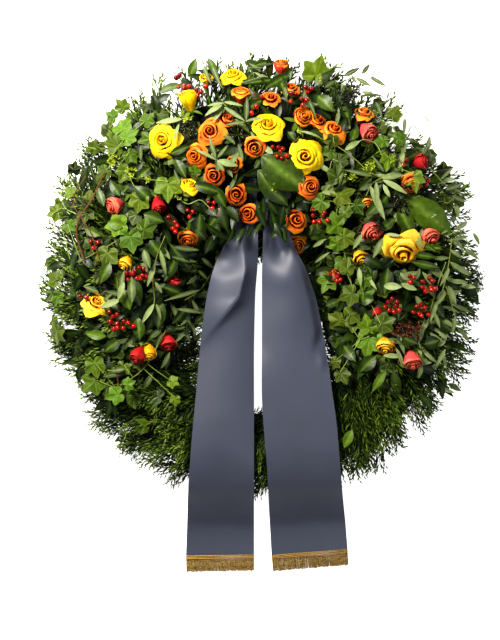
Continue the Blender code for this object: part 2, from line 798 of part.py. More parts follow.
def ring_body(section):
    """A closed ring from a section of (distance from the ring's circle, height) points."""
    points = []
    for step in range(RING_SEGMENTS):
        turn = 2 * math.pi * step / RING_SEGMENTS
        for offset, height in section:
            radius = RING_RADIUS + offset
            points.append((radius * math.cos(turn), radius * math.sin(turn), height))
    count = len(section)
    faces = []
    for step in range(RING_SEGMENTS):
        after = (step + 1) % RING_SEGMENTS
        for k in range(count):
            right = (k + 1) % count
            a, b = step * count + k, step * count + right
            c, d = after * count + right, after * count + k
            faces.append((a, d, c, b))
    return np.array(points), faces


def tray():
    """The flat plastic tray under the foam, with a low rim on both sides."""
    w, wall = TRAY_HALF_WIDTH, TRAY_WALL
    section = ((-w, 0), (w, 0), (w, TRAY_RIM), (w - wall, TRAY_RIM))
    section += ((w - wall, wall), (-w + wall, wall), (-w + wall, TRAY_RIM), (-w, TRAY_RIM))
    return ring_body(section)


def arch_at(share, grow):
    """A point of the foam's arched section, from its outer foot at 0 to its inner foot at 1."""
    turn = math.pi * share
    width = FOAM_HALF_WIDTH + grow
    return width * math.cos(turn), FOAM_FLOOR + (FOAM_RISE + grow) * math.sin(turn)


def foam():
    """The foam ring: an arch on a flat foot that stands inside the tray's rim."""
    foot = TRAY_WALL + GAP
    half = FOAM_HALF_WIDTH
    section = [(-half, foot), (half, foot)]
    section += [arch_at(share, 0) for share in ARCH_SHARES]
    return ring_body(section)


def collar_thickness(turn):
    """The bound conifer is thin at the foot of the wreath and thick under the flowers."""
    share = min(1.0, max(0.0, math.sin(turn) + 0.75))
    return COLLAR_THICKNESS_FOOT + share * (COLLAR_THICKNESS_TOP - COLLAR_THICKNESS_FOOT)


def collar_point(turn, share, grow):
    offset, height = arch_at(share, grow)
    radius = RING_RADIUS + offset
    return np.array((radius * math.cos(turn), radius * math.sin(turn), max(height, TRAY_RIM + 2 * GAP)))


def collar_mat(index):
    """One sector of the conifer bound over the foam: a bent slab with a lumpy outer face."""
    rows = len(ARCH_SHARES)
    columns = RING_SEGMENTS // COLLAR_SECTORS + 1
    sector = 2 * math.pi / COLLAR_SECTORS
    play = GAP / RING_RADIUS
    draw = random.Random(300 + index)
    turns = np.linspace(index * sector + play, (index + 1) * sector - play, columns)
    points = []
    for outer in (0, 1):
        for column, turn in enumerate(turns):
            bump = 0.003 if 0 < column < columns - 1 else 0.0
            for share in ARCH_SHARES:
                grow = collar_thickness(turn) + draw.uniform(-bump, bump) if outer else GAP
                points.append(collar_point(turn, share, grow))
    half = rows * columns
    faces = []
    for i in range(columns - 1):
        for k in range(rows - 1):
            a, b = i * rows + k, i * rows + k + 1
            c, d = (i + 1) * rows + k + 1, (i + 1) * rows + k
            faces += [(a, b, c), (a, c, d)]
            faces += [(half + a, half + c, half + b), (half + a, half + d, half + c)]
    rim = list(range(rows))
    rim += [i * rows + rows - 1 for i in range(1, columns)]
    rim += [(columns - 1) * rows + k for k in range(rows - 2, -1, -1)]
    rim += [i * rows for i in range(columns - 2, 0, -1)]
    for a, b in zip(rim, rim[1:] + rim[:1]):
        faces += [(b, a, half + a), (b, half + a, half + b)]
    return np.array(points), faces


def pleat_height(chord):
    """How far the folds of a ribbon rise and sink when it is drawn together to this width."""
    cell = RIBBON_WIDTH / RIBBON_COLUMNS
    return math.sqrt(max(0.0, cell**2 - (chord / RIBBON_COLUMNS) ** 2)) / 2


def ribbon_tail(stations):
    """A pleated tail. The material keeps its width, so where the edges lie closer together the
    columns fold up and down by what is left over."""
    columns = RIBBON_COLUMNS
    top = []
    for py, left, right, height in stations:
        z = height * 0.001
        a, b = from_photo(left, py, z), from_photo(right, py, z)
        fold = pleat_height(np.linalg.norm(b - a)) if height > 10 else 0.0
        for k in range(columns + 1):
            top.append(a + (b - a) * k / columns + np.array((0, 0, fold * (-1) ** (k + 1))))
    top = np.array(top)
    points = np.concatenate([top, top - (0, 0, RIBBON_THICKNESS)])
    wide = columns + 1
    half = len(top)
    faces = []
    for row in range(len(stations) - 1):
        for k in range(columns):
            a, b = row * wide + k, row * wide + k + 1
            c, d = b + wide, a + wide
            faces += [(a, d, c), (a, c, b)]
            faces += [(half + a, half + c, half + d), (half + a, half + b, half + c)]
    rim = list(range(wide))
    rim += [row * wide + columns for row in range(1, len(stations))]
    rim += [(len(stations) - 1) * wide + k for k in range(columns - 1, -1, -1)]
    rim += [row * wide for row in range(len(stations) - 2, 0, -1)]
    for a, b in zip(rim, rim[1:] + rim[:1]):
        faces += [(a, b, half + b), (a, half + b, half + a)]
    return points, faces


def fringe(stations):
    """The gold fringe at a tail's end: a header with a row of tassels below it."""
    py, left, right, height = stations[-1]
    thickness = height * 0.001
    lying = np.array((1, 1, 0))
    a, b = from_photo(left, py, thickness) * lying, from_photo(right, py, thickness) * lying
    down = unit(np.array(((b - a)[1], -(b - a)[0], 0)))
    pitch = (b - a) / FRINGE_TASSELS
    outline = [a + down * GAP]
    for k in range(FRINGE_TASSELS):
        outline.append(a + pitch * k + down * FRINGE_LENGTH * 0.8)
        outline.append(a + pitch * (k + 0.5) + down * FRINGE_LENGTH)
    outline += [b + down * FRINGE_LENGTH * 0.8, b + down * GAP]
    low = np.array(outline)
    high = low + (0, 0, thickness)
    count = len(outline)
    faces = [tuple(reversed(range(count))), tuple(range(count, 2 * count))]
    for k in range(count):
        after = (k + 1) % count
        faces.append((k, after, count + after, count + k))
    return np.concatenate([low, high]), faces


def ribbon_wire(layout):
    """The wire over both gathered ribbon ends, its three legs pushed down into the foam."""
    py, left, inner_left, height = LEFT_TAIL[0]
    _, inner_right, right, _ = RIGHT_TAIL[0]
    bar = height * 0.001 + pleat_height((inner_left - left) * PIXEL) + WIRE_RADIUS + GAP
    columns = (left - 4, (inner_left + inner_right) / 2, right + 4)
    tops = [from_photo(px, py + 6, bar) for px in columns]
    overhang = np.array((0.001, 0, 0))
    pieces = [tube([tops[0] - overhang, tops[2] + overhang], WIRE_RADIUS, 5)]
    for top in tops:
        foot = np.array((top[0], RING_RADIUS - 0.020, STEM_FOOT))
        pieces.append(tube([top, foot], WIRE_RADIUS, 5))
        reach = unit(top - foot)
        layout.holes.append(tube([foot - reach * GAP, foot + reach * HOLE_REACH], WIRE_HOLE_RADIUS, 5))
    return pieces


def mesh_of(name, piece):
    points, faces = piece
    mesh = bpy.data.meshes.new(name)
    mesh.from_pydata([tuple(p) for p in points], [], [tuple(f) for f in faces])
    mesh.update()
    return mesh


def boolean(obj, pieces, operation):
    """Applies one Boolean on a collection of the pieces, and removes them."""
    if not pieces:
        return
    group = bpy.data.collections.new("pieces")
    bpy.context.scene.collection.children.link(group)
    for piece in pieces:
        group.objects.link(bpy.data.objects.new("piece", mesh_of("piece", piece)))
    modifier = obj.modifiers.new("join", "BOOLEAN")
    modifier.operation = operation
    modifier.operand_type = "COLLECTION"
    modifier.collection = group
    modifier.solver = "MANIFOLD"
    graph = bpy.context.evaluated_depsgraph_get()
    made = bpy.data.meshes.new_from_object(obj.evaluated_get(graph))
    obj.modifiers.clear()
    obj.data = made
    for helper in list(group.objects):
        bpy.data.objects.remove(helper)
    bpy.data.collections.remove(group)


def drop_scraps(obj):
    """Keeps the largest body of the mesh, and removes loose scraps."""
    mesh = bmesh.new()
    mesh.from_mesh(obj.data)
    left = set(mesh.verts)
    bodies = []
    while left:
        body = set()
        edge = [left.pop()]
        while edge:
            vertex = edge.pop()
            body.add(vertex)
            linked = {link.other_vert(vertex) for link in vertex.link_edges} & left
            left -= linked
            edge += linked
        bodies.append(body)
    bodies.sort(key=len)
    scraps = [vertex for body in bodies[:-1] for vertex in body]
    if scraps:
        print(obj.name, "had", len(bodies) - 1, "loose scraps")
        bmesh.ops.delete(mesh, geom=scraps, context="VERTS")
    mesh.to_mesh(obj.data)
    mesh.free()


def material_of(name):
    made = bpy.data.materials.get(name)
    if made:
        return made
    red, green, blue, roughness, metallic = COLOURS[name]
    made = bpy.data.materials.new(name)
    made.use_nodes = True
    shader = made.node_tree.nodes["Principled BSDF"]
    shader.inputs["Base Color"].default_value = (red, green, blue, 1)
    shader.inputs["Roughness"].default_value = roughness
    shader.inputs["Metallic"].default_value = metallic
    made.diffuse_color = (red, green, blue, 1)
    return made


def node(name, material, pieces, holes=()):
    """One object: a first piece less its holes, with the other pieces joined to it in one body."""
    obj = bpy.data.objects.new(name, mesh_of(name, pieces[0]))
    bpy.context.scene.collection.objects.link(obj)
    boolean(obj, holes, "DIFFERENCE")
    boolean(obj, pieces[1:], "UNION")
    drop_scraps(obj)
    obj.data.name = name
    obj.data.materials.clear()
    obj.data.materials.append(material_of(material))


def stand_on_origin():
    """Moves the wreath so that the middle of its footprint is the origin, with its foot at z = 0."""
    points = [vertex.co for obj in bpy.context.scene.objects for vertex in obj.data.vertices]
    points = np.array([tuple(point) for point in points])
    low, high = points.min(axis=0), points.max(axis=0)
    shift = Matrix.Translation((-(low[0] + high[0]) / 2, -(low[1] + high[1]) / 2, -low[2]))
    for obj in bpy.context.scene.objects:
        obj.data.transform(shift)
        obj.data.update()
    print("ring centre at", tuple(shift.translation))


def build():
    for obj in list(bpy.data.objects):
        bpy.data.objects.remove(obj)
    layout = Layout()
    mats = [collar_mat(index) for index in range(COLLAR_SECTORS)]
    for name, mat in zip(MATS, mats):
        layout.add(name, [mat])
    layout.add("foam", [foam()])
    layout.add("tray", [tray()])
    made = {
        "ribbon_tail_left": ("satin", [ribbon_tail(LEFT_TAIL)]),
        "ribbon_tail_right": ("satin", [ribbon_tail(RIGHT_TAIL)]),
        "gold_fringe_left": ("gold_thread", [fringe(LEFT_TAIL)]),
        "gold_fringe_right": ("gold_thread", [fringe(RIGHT_TAIL)]),
        "ribbon_wire": ("wire", ribbon_wire(layout)),
    }
    for name, (_, pieces) in made.items():
        layout.add(name, pieces)
    add_roses(layout, made)
    add_berries(layout, made)
    add_broad_leaves(layout, made)
    add_ivy(layout, made)
    add_olive(layout, made)
    fronds = [add_fronds(layout, index) for index in range(COLLAR_SECTORS)]
    node("base_tray", "tray_plastic", [tray()])
    node("foam_ring", "foam", [foam()], layout.holes)
    for index, (mat, sprays) in enumerate(zip(mats, fronds), 1):
        node(f"conifer_{index}", "conifer", [mat] + sprays, layout.holes)
    for name, (material, pieces) in made.items():
        node(name, material, pieces)
    stand_on_origin()


build()
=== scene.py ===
# %% [markdown]
# # A memorial wreath, dressed over its plain solids
# A florist binds conifer over a ring of wet foam, sticks roses, ivy, olive and berries into it, and
# pins two satin ribbon tails to its top. The wreath lies on its back here, and we look straight down.
# Every surface below is a formula on a grid of two parameters, worked out as whole numpy arrays.

# %% Load the fixed frame of plain solids
import math

import bpy
import numpy as np
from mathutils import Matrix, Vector


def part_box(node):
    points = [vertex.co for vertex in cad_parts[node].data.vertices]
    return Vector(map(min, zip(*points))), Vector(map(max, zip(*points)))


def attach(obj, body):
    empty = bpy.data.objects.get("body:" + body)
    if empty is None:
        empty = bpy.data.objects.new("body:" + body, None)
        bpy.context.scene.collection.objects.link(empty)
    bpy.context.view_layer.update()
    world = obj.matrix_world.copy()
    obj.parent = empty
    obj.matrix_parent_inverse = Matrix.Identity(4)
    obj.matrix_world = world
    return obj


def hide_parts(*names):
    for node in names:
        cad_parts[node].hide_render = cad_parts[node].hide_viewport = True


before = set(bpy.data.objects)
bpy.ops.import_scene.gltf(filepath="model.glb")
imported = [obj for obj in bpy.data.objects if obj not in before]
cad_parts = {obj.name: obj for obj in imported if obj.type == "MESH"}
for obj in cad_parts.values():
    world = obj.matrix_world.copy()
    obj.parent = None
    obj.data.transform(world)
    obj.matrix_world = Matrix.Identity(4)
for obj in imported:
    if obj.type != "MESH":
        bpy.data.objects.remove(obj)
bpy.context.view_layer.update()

# %% [markdown]
# ## Where things lie
# The layout is set out in pixels of the photograph, which was taken square-on. One function turns a
# pixel and a height into a place, and another gives the height of the greenery, an elliptical arch
# across the ring that is taller at the flowered top than at the bare foot.

# %% From a pixel to a place
# The ribbon is 127 mm wide in life, which makes a pixel 1.8 mm at the height that it's measured at.
PIXEL = 0.0018
PIXEL_HEIGHT = 0.06
# Pixels of the ring's centre and of the point under the camera.
RING_PX = (262, 300)
VIEW_PX = (250, 320)
VIEW_HEIGHT = 2.78
# The foam's middle line, which every stem goes down to, and the height that it reaches there.
RING_RADIUS = 0.255
FOAM_HEIGHT = 0.035
low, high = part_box("foam_ring")
RING = np.array(((low.x + high.x) / 2, (low.y + high.y) / 2))

# Angle round the ring in degrees, inner reach, outer reach and crest height of the greenery.
MOUND = np.array((
    (-90, 0.200, 0.345, 0.086),
    (-45, 0.170, 0.360, 0.096),
    (0, 0.125, 0.385, 0.122),
    (90, 0.120, 0.425, 0.138),
    (180, 0.125, 0.385, 0.122),
    (225, 0.170, 0.360, 0.096),
    (270, 0.200, 0.345, 0.086),
))
MOUND_EDGE = 0.034
# Where the line of sight through a pixel misses a solid, these pixels beside it are tried.
NEARBY = ((0, 0), (2, 0), (-2, 0), (0, 2), (0, -2), (4, 0), (-4, 0), (0, 4), (0, -4))


def place(px, py, z):
    """A pixel's distance from the one under the camera shrinks in step with the gap that the height
    z leaves to the camera; what is left is counted in pixels from the ring's centre."""
    px, py, z = np.broadcast_arrays(*(np.asarray(value, float) for value in (px, py, z)))
    shrink = (VIEW_HEIGHT - z) / (VIEW_HEIGHT - PIXEL_HEIGHT)
    x = ((px - VIEW_PX[0]) * shrink + VIEW_PX[0] - RING_PX[0]) * PIXEL + RING[0]
    y = ((VIEW_PX[1] - py) * shrink + RING_PX[1] - VIEW_PX[1]) * PIXEL + RING[1]
    return np.stack((x, y, z), axis=-1)


def mound_at(angle):
    """Inner reach, outer reach and crest height at angles in radians, read off straight lines."""
    degrees = (np.degrees(angle) + 90) % 360 - 90
    return [np.interp(degrees, MOUND[:, 0], MOUND[:, column]) for column in (1, 2, 3)]


def mound_height(x, y):
    """The edge height plus the crest's rise times the square root of 1 less the squared share across."""
    x, y = np.asarray(x) - RING[0], np.asarray(y) - RING[1]
    inner, outer, crest = mound_at(np.arctan2(y, x))
    across = (np.hypot(x, y) - (inner + outer) / 2) / ((outer - inner) / 2)
    return MOUND_EDGE + (crest - MOUND_EDGE) * np.sqrt(np.clip(1 - across**2, 0, None))


def mound_normal(points):
    """Square to the greenery, from its height's differences over a small step each way, and drawn
    a little more upright than that."""
    step = 0.012
    upright = 1.6
    x, y = points[..., 0], points[..., 1]
    slope_x = (mound_height(x + step, y) - mound_height(x - step, y)) / (2 * step)
    slope_y = (mound_height(x, y + step) - mound_height(x, y - step)) / (2 * step)
    return unit(np.stack((-slope_x, -slope_y, np.full_like(slope_x, upright)), axis=-1))


def smooth_step(x, start, end):
    """Three squares less two cubes of the share of the way from start to end."""
    x = np.clip((x - start) / (end - start), 0, 1)
    return x * x * (3 - 2 * x)


def unit(vectors):
    """Each vector over its own length."""
    return vectors / np.maximum(np.linalg.norm(vectors, axis=-1, keepdims=True), 1e-9)


def on_mound(px, py, lift):
    """The pixel's place at a height above the greenery, found by four corrections."""
    z = np.full(np.shape(px), 0.1)
    for _ in range(4):
        points = place(px, py, z)
        z = mound_height(points[..., 0], points[..., 1]) + lift
    return place(px, py, z)


def seen_height(node, px, py, missing):
    """Height at which the line of sight through a pixel meets one of the solids."""
    eye = place(*VIEW_PX, VIEW_HEIGHT)
    for aside, down in NEARBY:
        sight = unit(place(px + aside, py + down, 0.0) - eye)
        hit, where, _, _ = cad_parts[node].ray_cast(Vector(eye), Vector(sight))
        if hit:
            return where.z
    return missing


print("the ring's centre is at", RING)

# %% [markdown]
# ## The camera
# The photograph looks straight at the wreath's face, so the camera hangs over it. An 85 mm lens
# gives the flat look of a product picture.

# %% Camera
camera = bpy.data.objects.new("camera", bpy.data.cameras.new("camera"))
bpy.context.scene.collection.objects.link(camera)
camera.data.lens = 85
camera.data.sensor_width = 36
camera.location = place(*VIEW_PX, VIEW_HEIGHT)
bpy.context.scene.camera = camera
print("the camera hangs", VIEW_HEIGHT, "m over the floor")

# %% [markdown]
# ## Thin sheets
# Petals, ribbons and most leaves are thin sheets, and ivy leaves are lobed discs. A plane with a
# Solidify modifier would do for one, but there are thousands, so a builder takes a whole batch of
# middle surfaces as one array and gives back the points and faces of closed sheets.


# %% Sheets and discs
def flat_list(points, faces):
    """Points and faces of any layout as plain lists."""
    return points.reshape(-1, 3), [face.reshape(-1, face.shape[-1]) for face in faces]


def quads(a):
    """Faces of a grid of point numbers, turned so that across x along points out."""
    return np.stack((a[..., :-1, :-1], a[..., :-1, 1:], a[..., 1:, 1:], a[..., 1:, :-1]), axis=-1)


def sheets(grid, thickness):
    """Closed thin sheets from middle points (sheet, row, column): each face lies half the thickness
    off along the cross product of the grid's two directions, and a rim joins the edges."""
    normal = unit(np.cross(np.gradient(grid, axis=2), np.gradient(grid, axis=1)))
    points = np.stack((grid + normal * thickness / 2, grid - normal * thickness / 2), axis=1)
    index = np.arange(points[..., 0].size).reshape(points.shape[:-1])
    rim = np.concatenate(
        (index[:, :, 0, :], index[:, :, 1:, -1], index[:, :, -1, -2::-1], index[:, :, -2:0:-1, 0]), axis=2
    )
    after = np.roll(rim, -1, axis=2)
    side = np.stack((rim[:, 1], after[:, 1], after[:, 0], rim[:, 0]), axis=-1)
    return flat_list(points, [quads(index[:, 0]), quads(index[:, 1])[..., ::-1], side])


def discs(grid, thickness):
    """The same for (disc, ring, angle), closed round its angles and capped at its smallest ring."""
    round_ = np.roll(grid, -1, axis=2) - np.roll(grid, 1, axis=2)
    normal = unit(np.cross(np.gradient(grid, axis=1), round_))
    points = np.stack((grid + normal * thickness / 2, grid - normal * thickness / 2), axis=1)
    index = np.arange(points[..., 0].size).reshape(points.shape[:-1])
    wrapped = np.concatenate((index, index[..., :1]), axis=-1)
    rim = index[:, :, -1, :]
    after = np.roll(rim, -1, axis=2)
    side = np.stack((rim[:, 1], after[:, 1], after[:, 0], rim[:, 0]), axis=-1)
    caps = [index[:, 0, 0, :], index[:, 1, 0, ::-1]]
    return flat_list(points, [quads(wrapped[:, 0])[..., ::-1], quads(wrapped[:, 1]), side, *caps])


# %% [markdown]
# ## Stems and twigs
# Stems, vines, cords and berries are tubes, and conifer twigs are slim spindles. A bevelled curve
# would give the same shape, but a ring of points carried along a path is as easy with arrays, and
# all the stalks of a piece are then made at once.

# %% Tubes and spindles
UP = np.array((0, 0, 1.0))
# A way that hardly any stem runs in, so that it is never in line with one.
ASKEW = (0.31, 0.17, 0.93)
FLAT_ASKEW = (0.9, 0.3, 0.1)
HIP_ASKEW = (0.9, 0.3, 0.2)


def tubes(paths, radii, sides=5, near=ASKEW):
    """Closed round bodies along paths (tube, step): a ring of points at the radius round each step,
    square to the way ahead."""
    ahead = unit(np.gradient(paths, axis=1))
    aside = unit(np.cross(ahead, near))
    other = np.cross(ahead, aside)
    turn = 2 * np.pi * np.arange(sides) / sides
    ring = aside[:, :, None] * np.cos(turn)[:, None] + other[:, :, None] * np.sin(turn)[:, None]
    radii = np.broadcast_to(radii, paths.shape[:2])
    points = paths[:, :, None] + ring * radii[:, :, None, None]
    index = np.arange(points[..., 0].size).reshape(points.shape[:-1])
    wrapped = np.concatenate((index, index[..., :1]), axis=-1)
    return flat_list(points, [quads(wrapped), index[:, 0, ::-1], index[:, -1, :]])


def spindles(starts, ends, widths):
    """Slim three-sided twigs, pointed at both ends and widest two fifths of the way along."""
    ahead = unit(ends - starts)
    aside = unit(np.cross(ahead, ASKEW))
    other = np.cross(ahead, aside)
    widest_at = 0.4
    belly = starts + widest_at * (ends - starts)
    turn = 2 * np.pi * np.arange(3) / 3
    ring = aside[:, None] * np.cos(turn)[:, None] + other[:, None] * np.sin(turn)[:, None]
    middle = belly[:, None] + ring * (widths / 2)[:, None, None]
    points = np.concatenate((starts[:, None], middle, ends[:, None]), axis=1)
    first = 5 * np.arange(len(starts))[:, None]
    faces = np.array(((0, 2, 1), (0, 3, 2), (0, 1, 3), (4, 1, 2), (4, 2, 3), (4, 3, 1)))
    return flat_list(points, [first[:, :, None] + faces])


# %% [markdown]
# ## Colour and finish
# A colour is written as a designer would, in sRGB hex, and one function makes it linear. Petals and
# leaves change colour from foot to rim and from face to back, so each builder's points carry their
# own colour as an attribute. A texture would need an unwrapped leaf, and this way needs none.


# %% Colours and a node helper
def linear(hex_colour):
    """Each channel over 12.92 below 0.04045, and otherwise ((c + 0.055) / 1.055) to the power 2.4."""
    srgb = np.array([int(hex_colour[at:at + 2], 16) for at in (1, 3, 5)]) / 255
    return np.where(srgb <= 0.04045, srgb / 12.92, ((srgb + 0.055) / 1.055) ** 2.4)


def blend(first, second, share):
    """The first colour times 1 less the share, plus the second times the share."""
    share = np.asarray(share)[..., None]
    return np.asarray(first) * (1 - share) + np.asarray(second) * share


def add(tree, kind, inputs=None, **settings):
    """Adds one node with its settings. An input is a value, or the output that feeds it."""
    node = tree.nodes.new(kind)
    for name, value in settings.items():
        setattr(node, name, value)
    for key, value in (inputs or {}).items():
        if isinstance(value, bpy.types.NodeSocket):
            tree.links.new(value, node.inputs[key])
        else:
            node.inputs[key].default_value = value
    return node


# %% [markdown]
# ## Skins of plants
# A leaf or petal isn't one colour: its skin is mottled, finely uneven and more or less waxed. The
# points' own colour comes in as an attribute. Noise of one size darkens and lightens it, noise of
# another size gives the relief, and the wax is set as roughness and specular level.


# %% Skins
def new_material(name, **sockets):
    """A material whose shader's own sockets are set; _ stands for a space in a socket's name."""
    material = bpy.data.materials.new(name)
    material.use_nodes = True
    tree = material.node_tree
    shader = tree.nodes["Principled BSDF"]
    for socket, value in sockets.items():
        shader.inputs[socket.replace("_", " ")].default_value = value
    return material, tree, shader


def noise_of(tree, size_mm, detail):
    """Noise whose lumps are a real size: the scale is lumps to a metre."""
    where = add(tree, "ShaderNodeTexCoord").outputs["Object"]
    inputs = {"Vector": where, "Scale": 1000 / size_mm, "Detail": detail}
    return add(tree, "ShaderNodeTexNoise", inputs).outputs[0]


def give_relief(tree, shader, height, strength, distance):
    inputs = {"Height": height, "Strength": strength, "Distance": distance}
    tree.links.new(add(tree, "ShaderNodeBump", inputs).outputs[0], shader.inputs["Normal"])


def give_two_tones(tree, shader, share, dark, light):
    inputs = {0: share, 6: (*linear(dark), 1), 7: (*linear(light), 1)}
    mix = add(tree, "ShaderNodeMix", inputs, data_type="RGBA")
    tree.links.new(mix.outputs[2], shader.inputs["Base Color"])


def grown_material(name, mottle, mottle_mm, relief, relief_mm, roughness, gloss):
    """The points' own colour times 1 less or plus the mottle, with relief."""
    material, tree, shader = new_material(name, Roughness=roughness, Specular_IOR_Level=gloss)
    own = add(tree, "ShaderNodeAttribute", attribute_name="skin").outputs["Color"]
    cloud = {0: noise_of(tree, mottle_mm, 3.0), 1: 0.3, 2: 0.7, 3: 1 - mottle, 4: 1 + mottle}
    shade = add(tree, "ShaderNodeMapRange", cloud)
    coloured = add(tree, "ShaderNodeVectorMath", {0: own, "Scale": shade.outputs[0]}, operation="SCALE")
    tree.links.new(coloured.outputs[0], shader.inputs["Base Color"])
    give_relief(tree, shader, noise_of(tree, relief_mm, 2.0), relief, 0.0006)
    return material


# Strength of the mottling and its size in mm, strength of the relief and its size in mm, roughness
# and specular level.
SKINS = {
    # Petals are soft, and their skin is velvety: hardly any gloss.
    "rose petal": (0.16, 9, 0.25, 2.5, 0.6, 0.12),
    # Conifer scales are matt, and their relief is too fine to be seen, so it is drawn 2 mm wide.
    "conifer scale": (0.25, 26, 0.3, 2, 0.6, 0.2),
    # Ivy has a thin wax layer, so it shows a broad soft highlight.
    "ivy leaf": (0.22, 7, 0.35, 3, 0.5, 0.18),
    # Olive leaves have tiny scales that scatter light, so they look dry and grey.
    "olive leaf": (0.16, 8, 0.2, 3, 0.55, 0.2),
    # Laurel-like leaves are the glossiest green in the wreath.
    "waxed leaf": (0.30, 10, 0.5, 5, 0.38, 0.22),
    # A taut berry skin is as glossy as lacquer.
    "berry skin": (0.10, 4, 0.05, 2, 0.16, 0.5),
    # A young stem is smooth and a little waxy.
    "green stem": (0.2, 6, 0.2, 2, 0.5, 0.3),
}
MATERIALS = {name: grown_material(name, *skin) for name, skin in SKINS.items()}
print(len(MATERIALS), "skins")

# %% [markdown]
# ## One mesh for each piece
# A rose head is petals, hip and stem, and a spray of ivy is vine, stalks and leaves. They grew as one
# thing, so all parts of a piece are joined in one mesh, which keeps its place in its points. Loose
# tips of greenery are settled first, as they do when the wreath is laid down.

# %% From parts to a piece
GREENERY = ("conifer", "ivy_leaf", "olive_leaf", "broad_leaf")
WIDEST = 0.400
CURL = 0.35
LOW = 0.016
PRESS = 0.2
LEAST = 0.0010


def settled(points):
    """What is left of a reach past the widest is 0.35 of it, and a height below 16 mm is as far
    below 16 mm as 0.2 of what it was, so that sprays lie on the floor and don't reach into it."""
    x, y, z = points.T
    x = np.where(np.abs(x) > WIDEST, np.sign(x) * (WIDEST + (np.abs(x) - WIDEST) * CURL), x)
    z = np.where(z < LOW, LOW + (z - LOW) * PRESS, z)
    return np.stack((x, y, np.maximum(z, LEAST)), axis=-1)


def piece_of(name, parts, slot, nodes=(), crease=50):
    """Joins the parts, each (points, faces, colours, material), in one mesh at the origin."""
    points = np.concatenate([part[0] for part in parts])
    points = settled(points) if slot in GREENERY else points
    colours = np.concatenate([np.broadcast_to(part[2], part[0].shape) for part in parts])
    starts = np.cumsum([0] + [len(part[0]) for part in parts])
    used = list(dict.fromkeys(part[3] for part in parts))
    faces = [face + start for part, start in zip(parts, starts) for face in part[1]]
    numbers = [used.index(part[3]) for part in parts for _ in part[1]]
    sizes = np.concatenate([np.full(len(face), face.shape[1]) for face in faces])
    corners = np.concatenate([face.ravel() for face in faces])
    mesh = bpy.data.meshes.new(name)
    mesh.vertices.add(len(points))
    mesh.vertices.foreach_set("co", points.astype(np.float32).ravel())
    mesh.loops.add(len(corners))
    mesh.loops.foreach_set("vertex_index", corners.astype(np.int32))
    mesh.polygons.add(len(sizes))
    mesh.polygons.foreach_set("loop_start", (np.cumsum(sizes) - sizes).astype(np.int32))
    indices = np.concatenate([np.full(len(face), number) for face, number in zip(faces, numbers)])
    for material in used:
        mesh.materials.append(MATERIALS[material])
    mesh.polygons.foreach_set("material_index", indices.astype(np.int32))
    mesh.update(calc_edges=True)
    skin = mesh.attributes.new("skin", "FLOAT_COLOR", "POINT")
    opaque = np.concatenate((colours, np.ones((len(points), 1))), axis=1)
    skin.data.foreach_set("color", opaque.astype(np.float32).ravel())
    mesh.shade_smooth()
    mesh.set_sharp_from_angle(angle=math.radians(crease))
    piece = bpy.data.objects.new(name, mesh)
    bpy.context.scene.collection.objects.link(piece)
    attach(piece, "root")
    if nodes:
        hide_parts(*nodes)
    print(name, int((sizes - 2).sum()), "triangles")
    return piece


def axes_of(axis, near):
    """Two unit vectors square to an axis, the first as near as can be to near."""
    side = unit(near - axis * (near * axis).sum(axis=-1, keepdims=True))
    return side, np.cross(axis, side)


def facing(azimuth, tilt):
    """The way a head faces: its azimuth round the ring's plane and its tilt from upright."""
    a, t = math.radians(azimuth), math.radians(tilt)
    return np.array((math.sin(t) * math.cos(a), math.sin(t) * math.sin(a), math.cos(t)))


# %% [markdown]
# ## Roses
# A rose is a spiral of petals. Each new petal is turned from the last by the golden angle, sits a
# little further out, wraps less of the bloom and rolls its rim further back. Old outer petals are
# wider open, and a bud is taller and keeps its petals closed. The colour runs from a dark heart over
# a paler face to a light rim, and the back of the petal has its own colour. These are partly the rose's
# own colours and partly painted shade deep in the bloom and painted light on the rims.

# %% Petals
GOLDEN = math.radians(137.508)
# Heart, face, rim and back; the heart is partly painted shade and the rim partly painted light.
PALETTES = {
    "lemon": ("#d89c06", "#f0c60a", "#f4d632", "#ecc00c"),
    "golden": ("#c07808", "#e4aa12", "#f6d052", "#de9e14"),
    "orange": ("#962800", "#ca5a08", "#f8a638", "#b8440a"),
    "ember": ("#841a02", "#b6480a", "#f09c38", "#982406"),
    "flame": ("#b86408", "#dc8412", "#eca034", "#c43a32"),
    "pink": ("#b04c14", "#dc6446", "#ee846a", "#d4504e"),
    "red": ("#8c2004", "#b4341e", "#c03a34", "#a41e22"),
}
# Each petal's share from the innermost to the outermost: a tight heart and whorls round it.
WHORLS = (0.02, 0.09, 0.16, 0.32, 0.37, 0.42, 0.60, 0.63, 0.66, 0.69, 0.72, 0.92, 0.94, 0.96, 0.98, 1.0)
WHORLS_SMALL = (0.03, 0.13, 0.24, 0.46, 0.51, 0.56, 0.90, 0.93, 0.95, 0.97, 1.0)
# A head wider than this gets all its whorls, on a finer grid.
LARGE_HEAD = 0.0238


